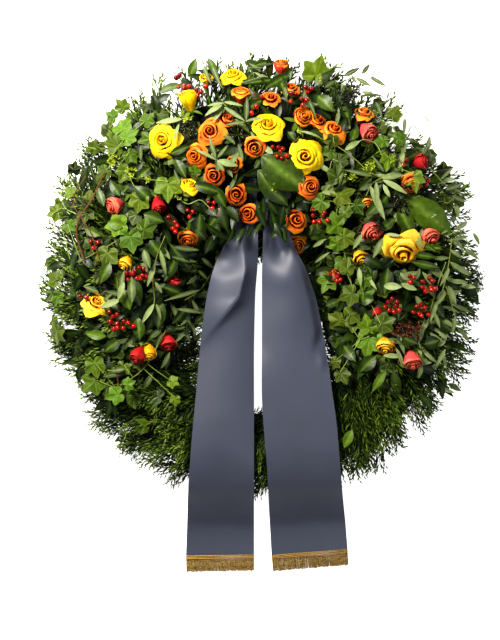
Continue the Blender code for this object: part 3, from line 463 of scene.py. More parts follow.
def petals(centre, radius, axis, turn, open_, palette, seed):
    """Petals of one head, with s the share of a petal's height, u its place across from -1 to 1, and
    t the petal's share from the innermost to the outermost. In radii, the distance from the axis is
    0.12 plus the rest of the belly times the sine of s, closed at the heart, plus the flare of the
    rim and its waves. The height is the crown times the sine of s, less the roll of the rim."""
    draw = np.random.default_rng(seed)
    large = radius > LARGE_HEAD
    t = np.array(WHORLS if large else WHORLS_SMALL)
    count = len(t)
    order = np.arange(count)
    steps = 9 if large else 7
    u = np.linspace(-1, 1, steps)[None, None, :]
    v = np.linspace(0, 1, steps)[None, :, None]
    t3 = t[:, None, None]
    jitter = draw.uniform(-1, 1, (5, count, 1, 1))
    # A petal's outline: its sides are lower than its middle, and the outer ones have a point.
    s = v * (1 - 0.25 * np.abs(u) ** 2.2 + 0.07 * t3 * np.exp(-((u / 0.30) ** 2)))
    wrap = 1.80 - 0.80 * t3
    belly = 0.10 + (0.50 + 0.10 * open_) * t3**0.95
    rise = np.sin(np.pi / 2 * np.clip(s / 0.62, 0, 1))
    shut = 1 - 0.72 * np.exp(-((t3 / 0.17) ** 2)) * s**2
    roll = np.clip((s - 0.62) / 0.38, 0, None)
    flare = (0.05 + 0.27 * open_) * (0.15 + t3**1.4) * roll**1.5
    # The distance from the axis: cup and flare, then lopsidedness, waves and the closing of a bud.
    out = (0.12 + (belly - 0.12) * rise) * shut + flare + 0.06 * u * (1 - 0.5 * t3)
    out = out + 0.05 * t3 * open_ * np.abs(u) ** 3 * s + 0.060 * jitter[0] * s * t3
    out = out + 0.035 * np.sin(3.3 * u + 6 * jitter[1]) * s**3 * (0.3 + t3)
    out = out * (1 - 0.34 * (1 - open_) ** 2 * s**2)
    # The height, where a bud is taller than an open bloom.
    tall = 1.28 - 0.28 * open_
    crown = 1.14 - 0.50 * open_ * t3**1.2
    up = -0.60 + crown * np.sin(np.pi / 2 * np.clip(s, 0, 1)) ** 0.9
    up = up - (0.12 + 0.26 * open_) * t3**0.8 * roll**2 + 0.06 * jitter[2] * s * t3
    up = up + 0.05 * np.exp(-((u / 0.35) ** 2)) * roll * (1 - t3) - 0.08 * open_ * t3 * u**2 * v
    angle = turn + GOLDEN * order[:, None, None] + 0.15 * jitter[3] + wrap * u * np.ones_like(s)
    side, other = axes_of(axis, np.array((0.83, 0.41, 0.37)))
    ring = np.cos(angle)[..., None] * side + np.sin(angle)[..., None] * other
    grid = centre + radius * (out[..., None] * ring + (tall * up)[..., None] * axis)
    # The colours, from heart to face to rim inside, and from face to back to rim outside. The dark heart
    # is partly painted shade deep in the bloom, and the light rim is partly painted light.
    heart, face, rim, back = (linear(colour) for colour in PALETTES[palette])
    share = np.broadcast_to(s, angle.shape)
    inside = blend(heart, face, smooth_step(share, 0.50, 0.90))
    edge = np.clip(smooth_step(share, 0.68, 1.0) * (0.70 + 0.30 * jitter[4]), 0, 1)
    inside = blend(inside, rim, edge)
    outside = blend(face, back, np.clip(0.35 + t3, 0, 1) * np.ones_like(share))
    outside = blend(outside, rim, edge)
    # Painted shade: the side of a petal that its neighbour shades is coloured deeper.
    painted_neighbour_shade = smooth_step(-u, -0.1, 1.0) * (0.3 + 0.7 * (1 - share)) * 0.75 * np.ones_like(share)
    inside = blend(inside, blend(heart, back, 0.5), painted_neighbour_shade)
    light = 1 + 0.14 * draw.uniform(-1, 1, (count, 1, 1, 1))
    # The grid runs round the bloom and up, so its first face is the outer one.
    points, faces = sheets(grid, 0.0006)
    colours = np.stack((outside * light, inside * light), axis=1).reshape(-1, 3)
    return points, faces, np.clip(colours, 0, 1), "rose petal"


# %% [markdown]
# ## Under the bloom
# A rose sits on a green hip with five narrow sepals, on a stem that the florist cuts short and pushes
# into the foam. The hip is a tube whose girth changes, the sepals are sheets that taper to a point,
# and the stem is a tube along a bent path.

# %% Hip, sepals and stem
STEM = linear("#44601a")
SEPAL = linear("#4e6a1e")
ROSE_STEM_RADIUS = 0.0020
KNEE_DROP = 0.022


def calyx(centre, radius, axis, seed):
    """The hip's girth in radii at heights in radii, and five sepals: out by 0.22 plus 0.75 of the
    share along one, up by a square of that share which is drawn for each sepal."""
    draw = np.random.default_rng(seed)
    steps = np.array((-1.02, -0.92, -0.78, -0.62, -0.50))
    girth = np.array((0.09, 0.18, 0.24, 0.22, 0.14)) * radius
    hip = tubes(centre + radius * steps[None, :, None] * axis, girth[None], 8, HIP_ASKEW)
    u = np.linspace(-1, 1, 5)[None, None, :]
    v = np.linspace(0, 1, 6)[None, :, None]
    turn = draw.uniform(0, 6) + 2 * np.pi * np.arange(5)[:, None, None] / 5
    side, other = axes_of(axis, np.array((0.83, 0.41, 0.37)))
    angle = turn + 0.42 * u * (1 - v) * np.ones_like(turn)
    ring = np.cos(angle)[..., None] * side + np.sin(angle)[..., None] * other
    out = 0.22 + 0.75 * v * np.ones_like(angle)
    up = -0.62 - 0.05 * v + 0.45 * v**2 * draw.uniform(-0.6, 1, (5, 1, 1))
    grid = centre + radius * (out[..., None] * ring + (up * np.ones_like(angle))[..., None] * axis)
    leaves = sheets(grid, 0.0007)
    return [(*hip, SEPAL, "green stem"), (*leaves, SEPAL * 1.1, "green stem")]


def stem_to_foam(heel, axis):
    """From the heel of a head, by a knee, down to the foam: heel, knee and foot weighted by the
    squares of the shares of the way."""
    flat = heel[:2] - RING
    foot = np.append(RING + flat / np.linalg.norm(flat) * RING_RADIUS, FOAM_HEIGHT)
    share = np.linspace(0, 1, 7)[:, None]
    knee = heel - axis * KNEE_DROP
    path = (1 - share) ** 2 * heel + 2 * share * (1 - share) * knee + share**2 * foot
    return (*tubes(path[None], ROSE_STEM_RADIUS, 6, FLAT_ASKEW), STEM, "green stem")


# %% [markdown]
# ## All the roses
# Yellow, orange and pink roses are stuck in groups, with red buds at the sides. Each head's pixel,
# size, tilt and opening are read off the photograph, and its height is that of the plain solid.

# %% Every rose
# Node: heads as palette, pixel, radius in pixels, azimuth, tilt and how far open, from 0 to 1.
ROSES = {
    "yellow_rose_01": (("lemon", 163.5, 140.5, 17, 190, 20, 1.0),),
    "yellow_rose_02": (("lemon", 189, 101, 11.5, 100, 62, 0.1), ("lemon", 206, 79, 8, 95, 50, 0.4)),
    "yellow_rose_03": (("lemon", 233, 77, 13, 95, 45, 0.7), ("flame", 241, 95, 11, 90, 60, 0.4)),
    "yellow_rose_04": (("lemon", 268, 126.5, 16, 90, 26, 0.75),),
    "yellow_rose_05": (("lemon", 304.5, 156.5, 18, 0, 5, 1.0),),
    "yellow_rose_06": (("lemon", 188, 188, 12, 70, 50, 0.4),),
    "yellow_rose_07": (("golden", 96, 303.5, 14, 60, 40, 0.8), ("golden", 126, 263, 9, 240, 60, 0.3)),
    "yellow_rose_08": (("golden", 404, 251.5, 21, 268, 44, 1.0),),
    "yellow_rose_09": (("golden", 386, 344, 12, 265, 55, 0.3),),
    "yellow_rose_10": (("flame", 364, 114, 11, 80, 50, 0.7), ("pink", 367, 131, 11.5, 310, 45, 0.15)),
    "orange_rose_01": (("orange", 211, 132, 14, 150, 14, 0.8), ("ember", 227, 121, 10, 60, 40, 0.5)),
    "orange_rose_02": (("orange", 196, 155.5, 12.5, 210, 26, 0.7),
                        ("ember", 214.5, 175, 11, 240, 20, 0.7)),
    "orange_rose_03": (("orange", 255, 147, 11, 250, 18, 0.6), ("orange", 234.5, 164, 9.5, 200, 28, 0.5)),
    "orange_rose_04": (("ember", 236.5, 194, 11.5, 270, 12, 0.7),
                        ("ember", 249, 214, 10.5, 200, 25, 0.7)),
    "orange_rose_05": (
        ("ember", 309, 187, 12.5, 0, 20, 0.7),
        ("orange", 296, 220, 12, 20, 16, 0.8),
        ("flame", 297, 243, 12.5, 285, 34, 0.4),
    ),
    "orange_rose_06": (
        ("flame", 301.5, 118, 12, 30, 26, 0.3),
        ("orange", 317, 122, 10.5, 60, 40, 0.5),
        ("orange", 334, 130, 13, 70, 35, 0.9),
    ),
    "orange_rose_07": (("orange", 291, 88, 9, 80, 35, 0.9), ("orange", 271, 98, 9, 90, 30, 0.9),
                       ("flame", 281, 68, 10, 90, 55, 0.2)),
    "orange_rose_08": (("ember", 411, 184, 12, 300, 30, 0.6), ("red", 419, 162, 10, 10, 62, 0.2)),
    "orange_rose_09": (("golden", 360, 256, 10, 290, 50, 0.3), ("orange", 337, 272, 6, 200, 40, 0.3)),
    "pink_rose_01": (
        ("red", 158, 204, 9, 285, 60, 0.1),
        ("ember", 188, 237, 11, 270, 45, 0.4),
        ("pink", 115.5, 205, 11.5, 205, 55, 0.35),
    ),
    "pink_rose_02": (("red", 173, 282, 9, 70, 66, 0.3),),
    "pink_rose_03": (
        ("golden", 148, 351, 10, 280, 62, 0.1),
        ("red", 138.5, 354, 10, 255, 60, 0.2),
        ("red", 168, 342, 10.5, 280, 60, 0.3),
    ),
    "pink_rose_04": (("pink", 371, 230, 13, 300, 42, 0.3), ("orange", 368, 203, 8, 270, 40, 0.4)),
    "pink_rose_05": (("pink", 429, 236, 12, 310, 48, 0.4),),
    "pink_rose_06": (("pink", 412, 359, 12, 280, 58, 0.25), ("red", 377, 311, 7, 270, 62, 0.1)),
}

for number, (node, heads) in enumerate(ROSES.items()):
    parts = []
    for k, (palette, px, py, pixels, azimuth, tilt, open_) in enumerate(heads):
        axis = facing(azimuth, tilt)
        # A bud fills less of its radius than an open head does.
        radius = pixels * PIXEL * (1.42 - 0.42 * open_)
        top = seen_height(node, px, py, 0.15)
        # The rim stands 0.40 of the radius over the middle of an upright head, 0.55 of a lying one.
        lean = math.radians(tilt)
        middle = top - radius * (0.40 * math.cos(lean) + 0.55 * math.sin(lean))
        centre = place(px, py, middle)
        seed = 10 * number + k
        parts.append(petals(centre, radius, axis, 2.4 * seed, open_, palette, seed))
        parts += calyx(centre, radius, axis, seed)
        parts.append(stem_to_foam(centre - axis * radius, axis))
    slot = node.split("_")[0] + "_petal"
    piece_of(node.replace("_rose_", "_rose_bloom_"), parts, slot, [node], 70)

# %% [markdown]
# ## Conifer
# The bare part of the ring is bound with sprays of a feathery cypress. A spray is flat: a rachis
# with branchlets to both sides, each with short twigs that sweep forward. Five sprays are worked out,
# each one unit long, and then bent and carried to hundreds of places as whole arrays.

# %% Five sprays
KINDS = 5
PAIRS = 9
TWIGS = 4
RACHIS_PARTS = 3
POINTS_PER_TWIG = 5


def spray_template(seed):
    """Starts, ends and widths of the twigs of a spray one unit long, and how near each is to a tip.
    Branchlet length = 0.12 + 0.40 (1 - y) to the power 0.8, at 21 degrees to the rachis."""
    draw = np.random.default_rng(seed)
    y = np.repeat(np.linspace(0.05, 0.93, PAIRS), 2) + draw.uniform(-0.02, 0.02, 2 * PAIRS)
    hand = np.tile((-1.0, 1.0), PAIRS)
    y = y + 0.02 * hand
    length = (0.12 + 0.40 * (1 - y) ** 0.8) * draw.uniform(0.7, 1.15, 2 * PAIRS)
    splay = np.radians(21 + draw.uniform(-8, 8, 2 * PAIRS)) * hand
    foot = np.stack((0 * y, y, 0 * y), axis=-1)
    way = np.stack((np.sin(splay), np.cos(splay), draw.uniform(-0.1, 0.25, 2 * PAIRS)), axis=-1)
    tips = foot + way * length[:, None]
    share = np.linspace(0.22, 0.86, TWIGS)[None, :, None]
    starts = foot[:, None] + (tips - foot)[:, None] * share
    side = np.where(np.arange(TWIGS) % 2, -1.0, 1.0)[None]
    swing = (splay[:, None] + np.radians(19) * side)[..., None]
    reach = 0.045 + 0.26 * length[:, None, None] * (1 - 0.55 * share)
    reach = reach * draw.uniform(0.8, 1.2, (2 * PAIRS, TWIGS, 1))
    rise = draw.uniform(-0.2, 0.35, (2 * PAIRS, TWIGS, 1))
    ends = starts + reach * np.concatenate((np.sin(swing), np.cos(swing), rise), axis=-1)
    cuts = np.linspace(0, 1, RACHIS_PARTS + 1)
    spine = np.stack((0 * cuts, cuts, 0 * cuts), axis=-1)
    all_starts = np.concatenate((spine[:-1], foot, starts.reshape(-1, 3)))
    all_ends = np.concatenate((spine[1:], tips, ends.reshape(-1, 3)))
    counts = (RACHIS_PARTS, len(foot), starts[..., 0].size)
    widths = np.repeat((0.022, 0.025, 0.023), counts)
    # Darker at the rachis and lighter at the tips: partly paler young growth, partly painted shade in the
    # spray's depth and painted light on its tips.
    age_and_shade = np.repeat((0.1, 0.5, 0.9), counts)
    return all_starts, all_ends, widths, age_and_shade


flat_sprays = [spray_template(seed) for seed in range(KINDS)]
TEMPLATES = [spindles(*spray[:3]) for spray in flat_sprays]
AGES_AND_SHADE = [np.repeat(spray[3], POINTS_PER_TWIG) for spray in flat_sprays]
# CONIFER_SHADE is painted shade, the colour of greenery deep in the wreath.
CONIFER_SHADE = linear("#0b1404")
CONIFER_MIDDLE = linear("#26380c")
CONIFER_TIP = linear("#6a8028")
print("a spray has", len(TEMPLATES[0][0]) // POINTS_PER_TWIG, "twigs")


# %% [markdown]
# ## Where the ribbon runs
# The two tails hang from the top over the foot of the wreath, and what grows under them is pressed
# down. Their edges are therefore set out before any conifer is laid. Past the ring, each tail drops to
# the floor and lies on it.

# %% Edges of the tails
RIBBON_WIDTH = 0.127
# Along a tail: pixel y of its left edge, pixel x of it, pixel x and y of its right edge, height in mm.
LEFT_TAIL = np.array((
    (178, 240, 256, 178, 98), (215, 237, 258, 215, 98), (240, 227, 258, 240, 97),
    (257, 218.5, 258, 256, 96), (274, 212, 257, 272, 94), (291, 208, 255.5, 290, 91),
    (322, 203, 254.5, 321, 89), (348, 200, 254, 348, 88), (399, 195.5, 254, 399, 89),
    (425, 193, 254, 425, 90), (455, 190.5, 254, 455, 86), (485, 188.5, 254, 485, 66),
    (508, 187.5, 254, 508, 31), (528, 187, 254, 528, 7), (541, 186.5, 254, 541, 3),
    (555.5, 186, 254, 554.5, 3),
))
RIGHT_TAIL = np.array((
    (178, 264, 281, 178, 100), (215, 263.5, 285, 212, 100), (240, 263, 294, 245, 98),
    (257, 262.5, 305, 267, 96), (274, 262, 311, 283, 94), (291, 262, 315, 295, 91),
    (322, 262, 321.5, 325, 89), (348, 262, 326, 350, 88), (399, 262, 333, 397, 88),
    (425, 263.5, 336.5, 422, 88), (455, 266, 339, 450, 85), (485, 268, 341.5, 480, 66),
    (508, 269, 343.5, 503, 31), (528, 270, 345.5, 523, 7), (541, 270.8, 346.5, 536, 3),
    (555, 271.5, 347.5, 549, 3),
))
# How far below the cloth the greenery stays, how far beside an edge it already sinks, and how much
# of a twig's height over that is taken away.
UNDER_CLOTH = 0.020
BESIDE_EDGE = 0.012
PRESSED = 0.93


def under_tails(points):
    """Heights of points, where those under a ribbon tail lose most of what stands over the height
    of the tail less the room under the cloth."""
    z = points[..., 2]
    for tail in (LEFT_TAIL, RIGHT_TAIL):
        left = place(tail[::-1, 1], tail[::-1, 0], tail[::-1, 4] / 1000)
        right = place(tail[::-1, 2], tail[::-1, 3], tail[::-1, 4] / 1000)
        y = points[..., 1]
        first, last = np.interp(y, left[:, 1], left[:, 0]), np.interp(y, right[:, 1], right[:, 0])
        x = points[..., 0]
        over = np.clip(np.minimum(x - first, last - x) / BESIDE_EDGE + 1, 0, 1) * (y > left[0, 1])
        ceiling = np.interp(y, left[:, 1], left[:, 2]) - UNDER_CLOTH
        z = np.where(z > ceiling, z - over * (z - ceiling) * PRESSED, z)
    return z


# %% [markdown]
# ## Sprays laid in rows
# A florist binds conifer in rows, each over the roots of the last, with a slight swirl. Rows point
# outwards on the outer side and inwards round the opening. Under them lies a sheet for the bound
# stems, which leave no hole, coloured nearly black as painted shade. The bare foot gets more sprays
# than the flowered top.

# %% Sprays all round the ring
def sprays(roots, tips, ups, widths, droop, seed):
    """Carries a template to each root: x runs across, y from root to tip and z up, and the spray
    droops with the square of its length and cups with the square of its width."""
    draw = np.random.default_rng(seed)
    ahead = tips - roots
    length = np.linalg.norm(ahead, axis=-1, keepdims=True)
    ahead = ahead / length
    across = unit(np.cross(ahead, ups))
    up = np.cross(across, ahead)
    parts = []
    kinds = draw.integers(0, len(TEMPLATES), len(roots))
    for kind, (points, faces) in enumerate(TEMPLATES):
        chosen = kinds == kind
        if not chosen.any():
            continue
        x = points[None, :, :1] * (widths * length[:, 0])[chosen, None, None]
        y = points[None, :, 1:2]
        lift = points[None, :, 2:] - 0.5 * np.abs(points[None, :, :1]) ** 1.5
        drop = (droop[chosen, None, None] * y**2 - lift) * length[chosen, None]
        bow = draw.uniform(-0.12, 0.12, (chosen.sum(), 1, 1)) * y**2 * length[chosen, None]
        y = y * length[chosen, None]
        carried = roots[chosen, None] + across[chosen, None] * (x + bow) + ahead[chosen, None] * y
        carried = carried - up[chosen, None] * drop
        carried[..., 2] = under_tails(carried)
        first = np.arange(chosen.sum())[:, None, None] * len(points)
        twigs = len(points) // POINTS_PER_TWIG
        play = np.repeat(draw.uniform(0.50, 1.25, (chosen.sum(), twigs)), POINTS_PER_TWIG, axis=1)
        # Painted shade towards the spray's root, deep under the next row, and lighter tips, partly young
        # growth and partly painted light.
        age_and_shade = AGES_AND_SHADE[kind][None] * (0.60 + 0.40 * points[None, :, 1]) * play
        shade = blend(CONIFER_SHADE, CONIFER_MIDDLE, np.clip(age_and_shade * 2, 0, 1))
        shade = blend(shade, CONIFER_TIP, np.clip(age_and_shade * 2 - 1, 0, 1))
        parts.append((carried.reshape(-1, 3), [(first + faces[0][None]).reshape(-1, 3)],
                      shade.reshape(-1, 3), "conifer scale"))
    return parts


SECTORS = 8
SWIRL = math.radians(15)
# Share of bare ring in each sector, counted from the right-hand side to the left.
BARE = (0.15, 0.0, 0.0, 0.1, 0.6, 1.0, 1.0, 0.6)
# Count on a flowered sector and on a bare one, root share and tip share across the greenery from
# its inner edge, root height and tip height as shares of the greenery's, and the spread of the tips.
SPRAY_ROWS = (
    (8, 16, 0.55, 1.02, 0.35, 0.70, 0.08),
    (8, 18, 0.45, 0.97, 0.55, 0.80, 0.09),
    (4, 17, 0.25, 0.82, 0.72, 1.00, 0.09),
    (3, 15, 0.12, 0.62, 0.66, 1.02, 0.09),
    (15, 15, 0.46, -0.07, 0.55, 0.65, 0.05),
    (15, 14, 0.36, -0.12, 0.30, 0.40, 0.04),
)


def ring_point(angle, share, height_share):
    """A point at a share across the greenery and at a share of its height there."""
    inner, outer, _ = mound_at(angle)
    radius = inner + (outer - inner) * share
    x, y = RING[0] + radius * np.cos(angle), RING[1] + radius * np.sin(angle)
    return np.stack((x, y, mound_height(x, y) * height_share), axis=-1)


def sector_of_sprays(index):
    """Every row of sprays on one sector: even steps round it with some play."""
    draw = np.random.default_rng(500 + index)
    parts = []
    for row, (few, many, root, tip, root_rise, tip_rise, play) in enumerate(SPRAY_ROWS):
        count = round(few + (many - few) * BARE[index])
        angle = (index + (np.arange(count) + draw.uniform(0.1, 0.9, count)) / count) * 2 * np.pi / SECTORS
        start = ring_point(angle, root + draw.uniform(-0.08, 0.08, count), root_rise)
        outward = np.sign(tip - root)
        # At the bare foot the inner sprays are bound closer, which keeps the opening clear.
        reach = tip if outward > 0 else tip + 0.13 * BARE[index] ** 4
        aim = angle - outward * SWIRL * draw.uniform(0.4, 1.4, count)
        end = ring_point(aim, reach + draw.uniform(-play, play, count), tip_rise)
        end[:, 2] += draw.uniform(-0.006, 0.010, count)
        normal = mound_normal((start + end) / 2) + draw.uniform(-0.35, 0.35, (count, 3))
        parts += sprays(start, end, normal, draw.uniform(0.8, 1.2, count),
                        draw.uniform(0.0, 0.12, count), 40 * index + row)
    return parts


def painted_shade_mat(index):
    """A sheet of painted shade for the bound stems, nearly black where it shows between the sprays:
    the greenery's arch at half its height, with lumps."""
    angle = np.linspace(index, index + 1, 13)[None, :, None] * 2 * np.pi / SECTORS
    share = np.linspace(0.14, 0.82, 11)[None, None, :]
    angle, share = np.broadcast_arrays(angle, share)
    lumps = 0.05 * np.sin(37 * angle + 9 * share) * np.sin(23 * share + 11 * angle)
    grid = ring_point(angle, share, 0.50 + lumps)
    points, faces = sheets(grid[..., ::-1, :], 0.004)
    return points, faces, CONIFER_SHADE, "conifer scale"


for index in range(SECTORS):
    parts = sector_of_sprays(index)
    parts.append(painted_shade_mat(index))
    piece_of(f"cypress_sector_{index + 1}", parts, "conifer", [f"conifer_{index + 1}"])

# %% [markdown]
# ## Ivy leaves
# Three kinds of leaf lie over the conifer: ivy, olive and broad waxed ones. An ivy leaf has five
# lobes with a pale vein down each. Its outline is a reach that changes with the angle, so the leaf is
# a disc on a grid of rings and angles, and veins, folds and colour all follow from the angle too.


# %% Ivy leaves
# Angle from the tip in degrees and reach from the veins' meeting point, in leaf lengths.
IVY_OUTLINE = np.array((
    (0, 0.70), (12, 0.56), (27, 0.43), (42, 0.51), (55, 0.57), (68, 0.50), (82, 0.41),
    (106, 0.44), (124, 0.41), (150, 0.34), (170, 0.23), (180, 0.15),
))
IVY_VEINS = np.radians((0, 57, -57, 116, -116))
IVY_GREEN = linear("#44580c")
IVY_VEIN = linear("#8c9c50")
# IVY_SHADE is painted shade: the colour of an ivy leaf lying in shadow.
IVY_SHADE = linear("#162406")
IVY_BACK = linear("#8c9c5c")
IVY_STALK = linear("#8aa04a")
IVY_VINE = linear("#6d7a3a")
# Half the width of a vein in radians.
VEIN = math.radians(4.5)
# Angles of the grid, closest together at the lobes, and its rings as shares of the reach.
HALF_ROUND = (-180, -166, -150, -136, -124, -116, -108, -94, -82, -73,
              -65, -59, -56, -52, -43, -35, -27, -19, -11, -4)
RINGS = np.array((0.06, 0.36, 0.7, 1.0))


def ivy_leaves(middles, directions, ups, lengths, tone_and_shade, seed, small=False):
    """Lobed discs: reach at an angle is read off the outline; the leaf is folded along its veins and
    its rim droops with the square of the distance. Veins are where an angle meets a vein's own."""
    draw = np.random.default_rng(seed)
    around = np.radians(HALF_ROUND)
    rings = RINGS
    if small:
        around = around[::2]
        rings = rings[[0, 2, 3]]
    around = np.concatenate((around, [0.0], -around[:0:-1]))
    reach = np.interp(np.degrees(np.abs(around)), IVY_OUTLINE[:, 0], IVY_OUTLINE[:, 1])
    count = len(middles)
    lobing = draw.uniform(0.8, 1.3, (count, 1, 1))
    reach = 0.44 + (reach[None, None, :] - 0.44) * lobing
    flat = reach * rings[None, :, None] * np.ones((count, 1, 1))
    x = flat * np.sin(around) * draw.uniform(0.88, 1.12, (count, 1, 1))
    y = flat * np.cos(around) - 0.12
    nearest = np.abs((around[:, None] - IVY_VEINS[None] + np.pi) % (2 * np.pi) - np.pi).min(axis=1)
    fold = 0.07 * np.sin(np.clip(nearest * 3.2, 0, np.pi / 2)) * flat
    wave = 0.05 * np.sin(5 * around[None, None] + draw.uniform(0, 6, (count, 1, 1))) * rings[None, :, None]
    z = fold + wave - 0.22 * (x**2 + y**2) * draw.uniform(0.2, 1.6, (count, 1, 1))
    ahead = unit(directions - ups * (directions * ups).sum(axis=-1, keepdims=True))
    across = np.cross(ahead, ups)
    size = lengths[:, None, None, None]
    grid = x[..., None] * across[:, None, None] + y[..., None] * ahead[:, None, None]
    grid = middles[:, None, None] + size * (grid + z[..., None] * ups[:, None, None])
    # A leaf lightens at its veins and rim; 0 to 1 runs from painted shade to its green, and above 1 it is
    # paler still, partly its own pale tone and partly painted light.
    vein = np.clip(1 - nearest / VEIN, 0, 1)[None, None] * np.clip(1.15 - rings, 0, 1)[None, :, None]
    rim = np.clip((rings - 0.75) / 0.25, 0, 1)[None, :, None] * 0.12
    green = blend(IVY_SHADE, IVY_GREEN, np.clip(tone_and_shade, -0.4, 1))[:, None, None]
    green = green * (1 + 1.1 * np.clip(tone_and_shade - 1, 0, 1))[:, None, None, None]
    green = green * (1 + draw.uniform(-0.22, 0.12, (count, 1, 1, 3)))
    green = green * np.ones_like(grid)
    upper = blend(green, IVY_VEIN, np.clip(vein * 0.7 + rim, 0, 1) * np.ones(grid.shape[:3]))
    lower = blend(green, IVY_BACK, np.full(grid.shape[:3], 0.6))
    # The grid runs clockwise seen from above, so its first face is the lower one.
    points, faces = discs(grid, 0.0006)
    return points, faces, np.stack((lower, upper), axis=1).reshape(-1, 3), "ivy leaf"


# %% [markdown]
# ## Ivy trails
# An ivy trail is a vine with a stalk to each leaf. The leaves that can be told apart in the
# photograph are set where they are seen, and smaller ones are scattered between them, as they would
# be too many to set by hand. The draw is seeded, so the wreath is the same each time.

# %% Ivy trails
# Node: the vine's route in pixels, and for each leaf its middle, the way its tip points in degrees,
# its length in pixels and its lightness, partly its own tone and partly painted light and shade.
IVY = {
    "ivy_trail_1": (
        ((335, 150), (330, 172), (340, 196), (336, 216), (341, 240), (348, 268), (352, 290), (344, 318)),
        ((332, 141, 250, 17, 0.7), (330, 152, 200, 15, 0.8), (337, 175, 95, 23, 0.55),
         (341, 160, 40, 16, 0.4), (320, 203, 215, 21, 1.0), (341, 195, 20, 25, 1.1),
         (334, 224, 160, 25, 1.15), (346, 238, 330, 22, 1.1), (336, 244, 200, 20, 1.1),
         (328, 281, 250, 22, 1.2), (344, 263, 280, 20, 0.9), (346, 211, 60, 14, 0.9),
         (357, 207, 310, 17, 0.5)),
    ),
    "ivy_trail_2": (
        ((392, 170), (402, 150), (394, 128)),
        ((317, 72, 75, 31, 1.6), (414, 179, 280, 22, 1.5), (394, 114, 60, 19, 1.2),
         (388, 160, 250, 20, 1.5), (382, 141, 200, 16, 1.1), (400, 138, 30, 15, 1.0)),
    ),
    "ivy_trail_3": (
        ((130, 178), (112, 160), (108, 136)),
        ((93, 148, 200, 16, 1.2), (122, 127, 120, 22, 1.5), (128, 137, 30, 20, 1.4),
         (139, 202, 260, 22, 1.2), (104, 172, 220, 15, 0.9), (116, 146, 160, 20, 1.2),
         (131, 156, 300, 18, 0.8), (125, 173, 240, 22, 0.9), (122, 106, 130, 17, 1.2),
         (147, 120, 40, 17, 1.0), (168, 187, 270, 26, 1.3), (112, 116, 150, 15, 1.0)),
    ),
    "ivy_trail_4": (
        ((140, 225), (118, 240), (90, 256), (66, 270), (58, 300), (64, 328)),
        ((117, 225, 190, 25, 1.5), (131, 240, 280, 25, 0.9), (107, 256, 260, 24, 1.0),
         (70, 226, 320, 15, 0.9), (55, 213, 200, 17, 1.3), (50, 262, 200, 17, 0.9),
         (55, 279, 140, 18, 1.0), (57, 298, 260, 17, 0.9), (57, 333, 250, 24, 1.0),
         (70, 192, 140, 18, 1.3), (146, 229, 20, 20, 0.9)),
    ),
    "ivy_trail_5": (
        ((166, 330), (140, 372), (116, 388)),
        ((123, 368, 250, 17, 1.2), (93, 383, 220, 24, 0.9), (116, 395, 200, 19, 1.4),
         (173, 382, 330, 13, 1.6), (95, 366, 280, 22, 1.1), (175, 400, 270, 12, 1.6),
         (128, 384, 20, 13, 1.3)),
    ),
    "ivy_trail_6": (
        ((372, 306), (358, 302), (350, 322), (360, 340)),
        ((347, 268, 80, 18, 0.9), (350, 295, 200, 23, 1.0), (366, 294, 320, 18, 0.9),
         (338, 322, 220, 22, 1.1), (353, 314, 20, 20, 1.0), (368, 326, 100, 22, 1.5),
         (369, 342, 265, 30, 1.5), (385, 323, 20, 22, 0.6), (335, 363, 250, 15, 0.9),
         (342, 375, 300, 17, 0.6), (364, 281, 260, 18, 1.0)),
    ),
}


def curve_through(points, count):
    """A smooth path: cumulative chord lengths are the parameter, and each coordinate is a cubic
    Hermite curve whose slopes are the differences of its neighbours."""
    points = np.asarray(points, float)
    along = np.concatenate(([0], np.cumsum(np.linalg.norm(np.diff(points, axis=0), axis=1))))
    slopes = np.gradient(points, along, axis=0)
    at = np.linspace(0, along[-1], count)
    k = np.clip(np.searchsorted(along, at, side="right") - 1, 0, len(points) - 2)
    step = (along[k + 1] - along[k])[:, None]
    f = ((at - along[k]) / step[:, 0])[:, None]
    first = (1 + 2 * f) * (1 - f) ** 2 * points[k] + f * (1 - f) ** 2 * step * slopes[k]
    return first + f**2 * (3 - 2 * f) * points[k + 1] + f**2 * (f - 1) * step * slopes[k + 1]


def vine(route, lift, radius, colour, count=40):
    """A tube along the smooth path through the route's pixels, at a height over the greenery, and
    the path itself."""
    route = np.array(route, float)
    path = curve_through(on_mound(route[:, 0], route[:, 1], lift), count)
    return (*tubes(path[None], radius, 5), colour, "green stem"), path


def stalks_to(path, ends, radius, colour):
    """A thin arched stalk from the nearest point of a path to each leaf."""
    gap = np.linalg.norm(path[None] - ends[:, None], axis=-1)
    starts = path[gap.argmin(axis=1)]
    share = np.linspace(0, 1, 6)[None, :, None]
    bow = 0.004 * np.sin(np.pi * share) * np.array((0, 0, 1.0))
    line = starts[:, None] * (1 - share) + ends[:, None] * share + bow
    return (*tubes(line, radius, 4), colour, "green stem")


# Node: how many small leaves fill the gaps, the span of angles round the ring in degrees, the span
# of shares across it, and the span of lightness, partly own tone and partly painted light and shade.
IVY_FILL = {
    "ivy_trail_1": (40, 12, 62, 0.08, 0.50, 0.0, 0.8),
    "ivy_trail_2": (34, 24, 62, 0.50, 1.04, 0.0, 1.1),
    "ivy_trail_3": (60, 116, 166, 0.45, 1.06, -0.2, 1.1),
    "ivy_trail_4": (34, 160, 200, 0.40, 1.00, -0.4, 0.6),
    "ivy_trail_5": (14, 196, 228, 0.30, 0.80, 0.0, 0.8),
    "ivy_trail_6": (40, -34, 12, 0.02, 0.55, -0.2, 0.8),
}


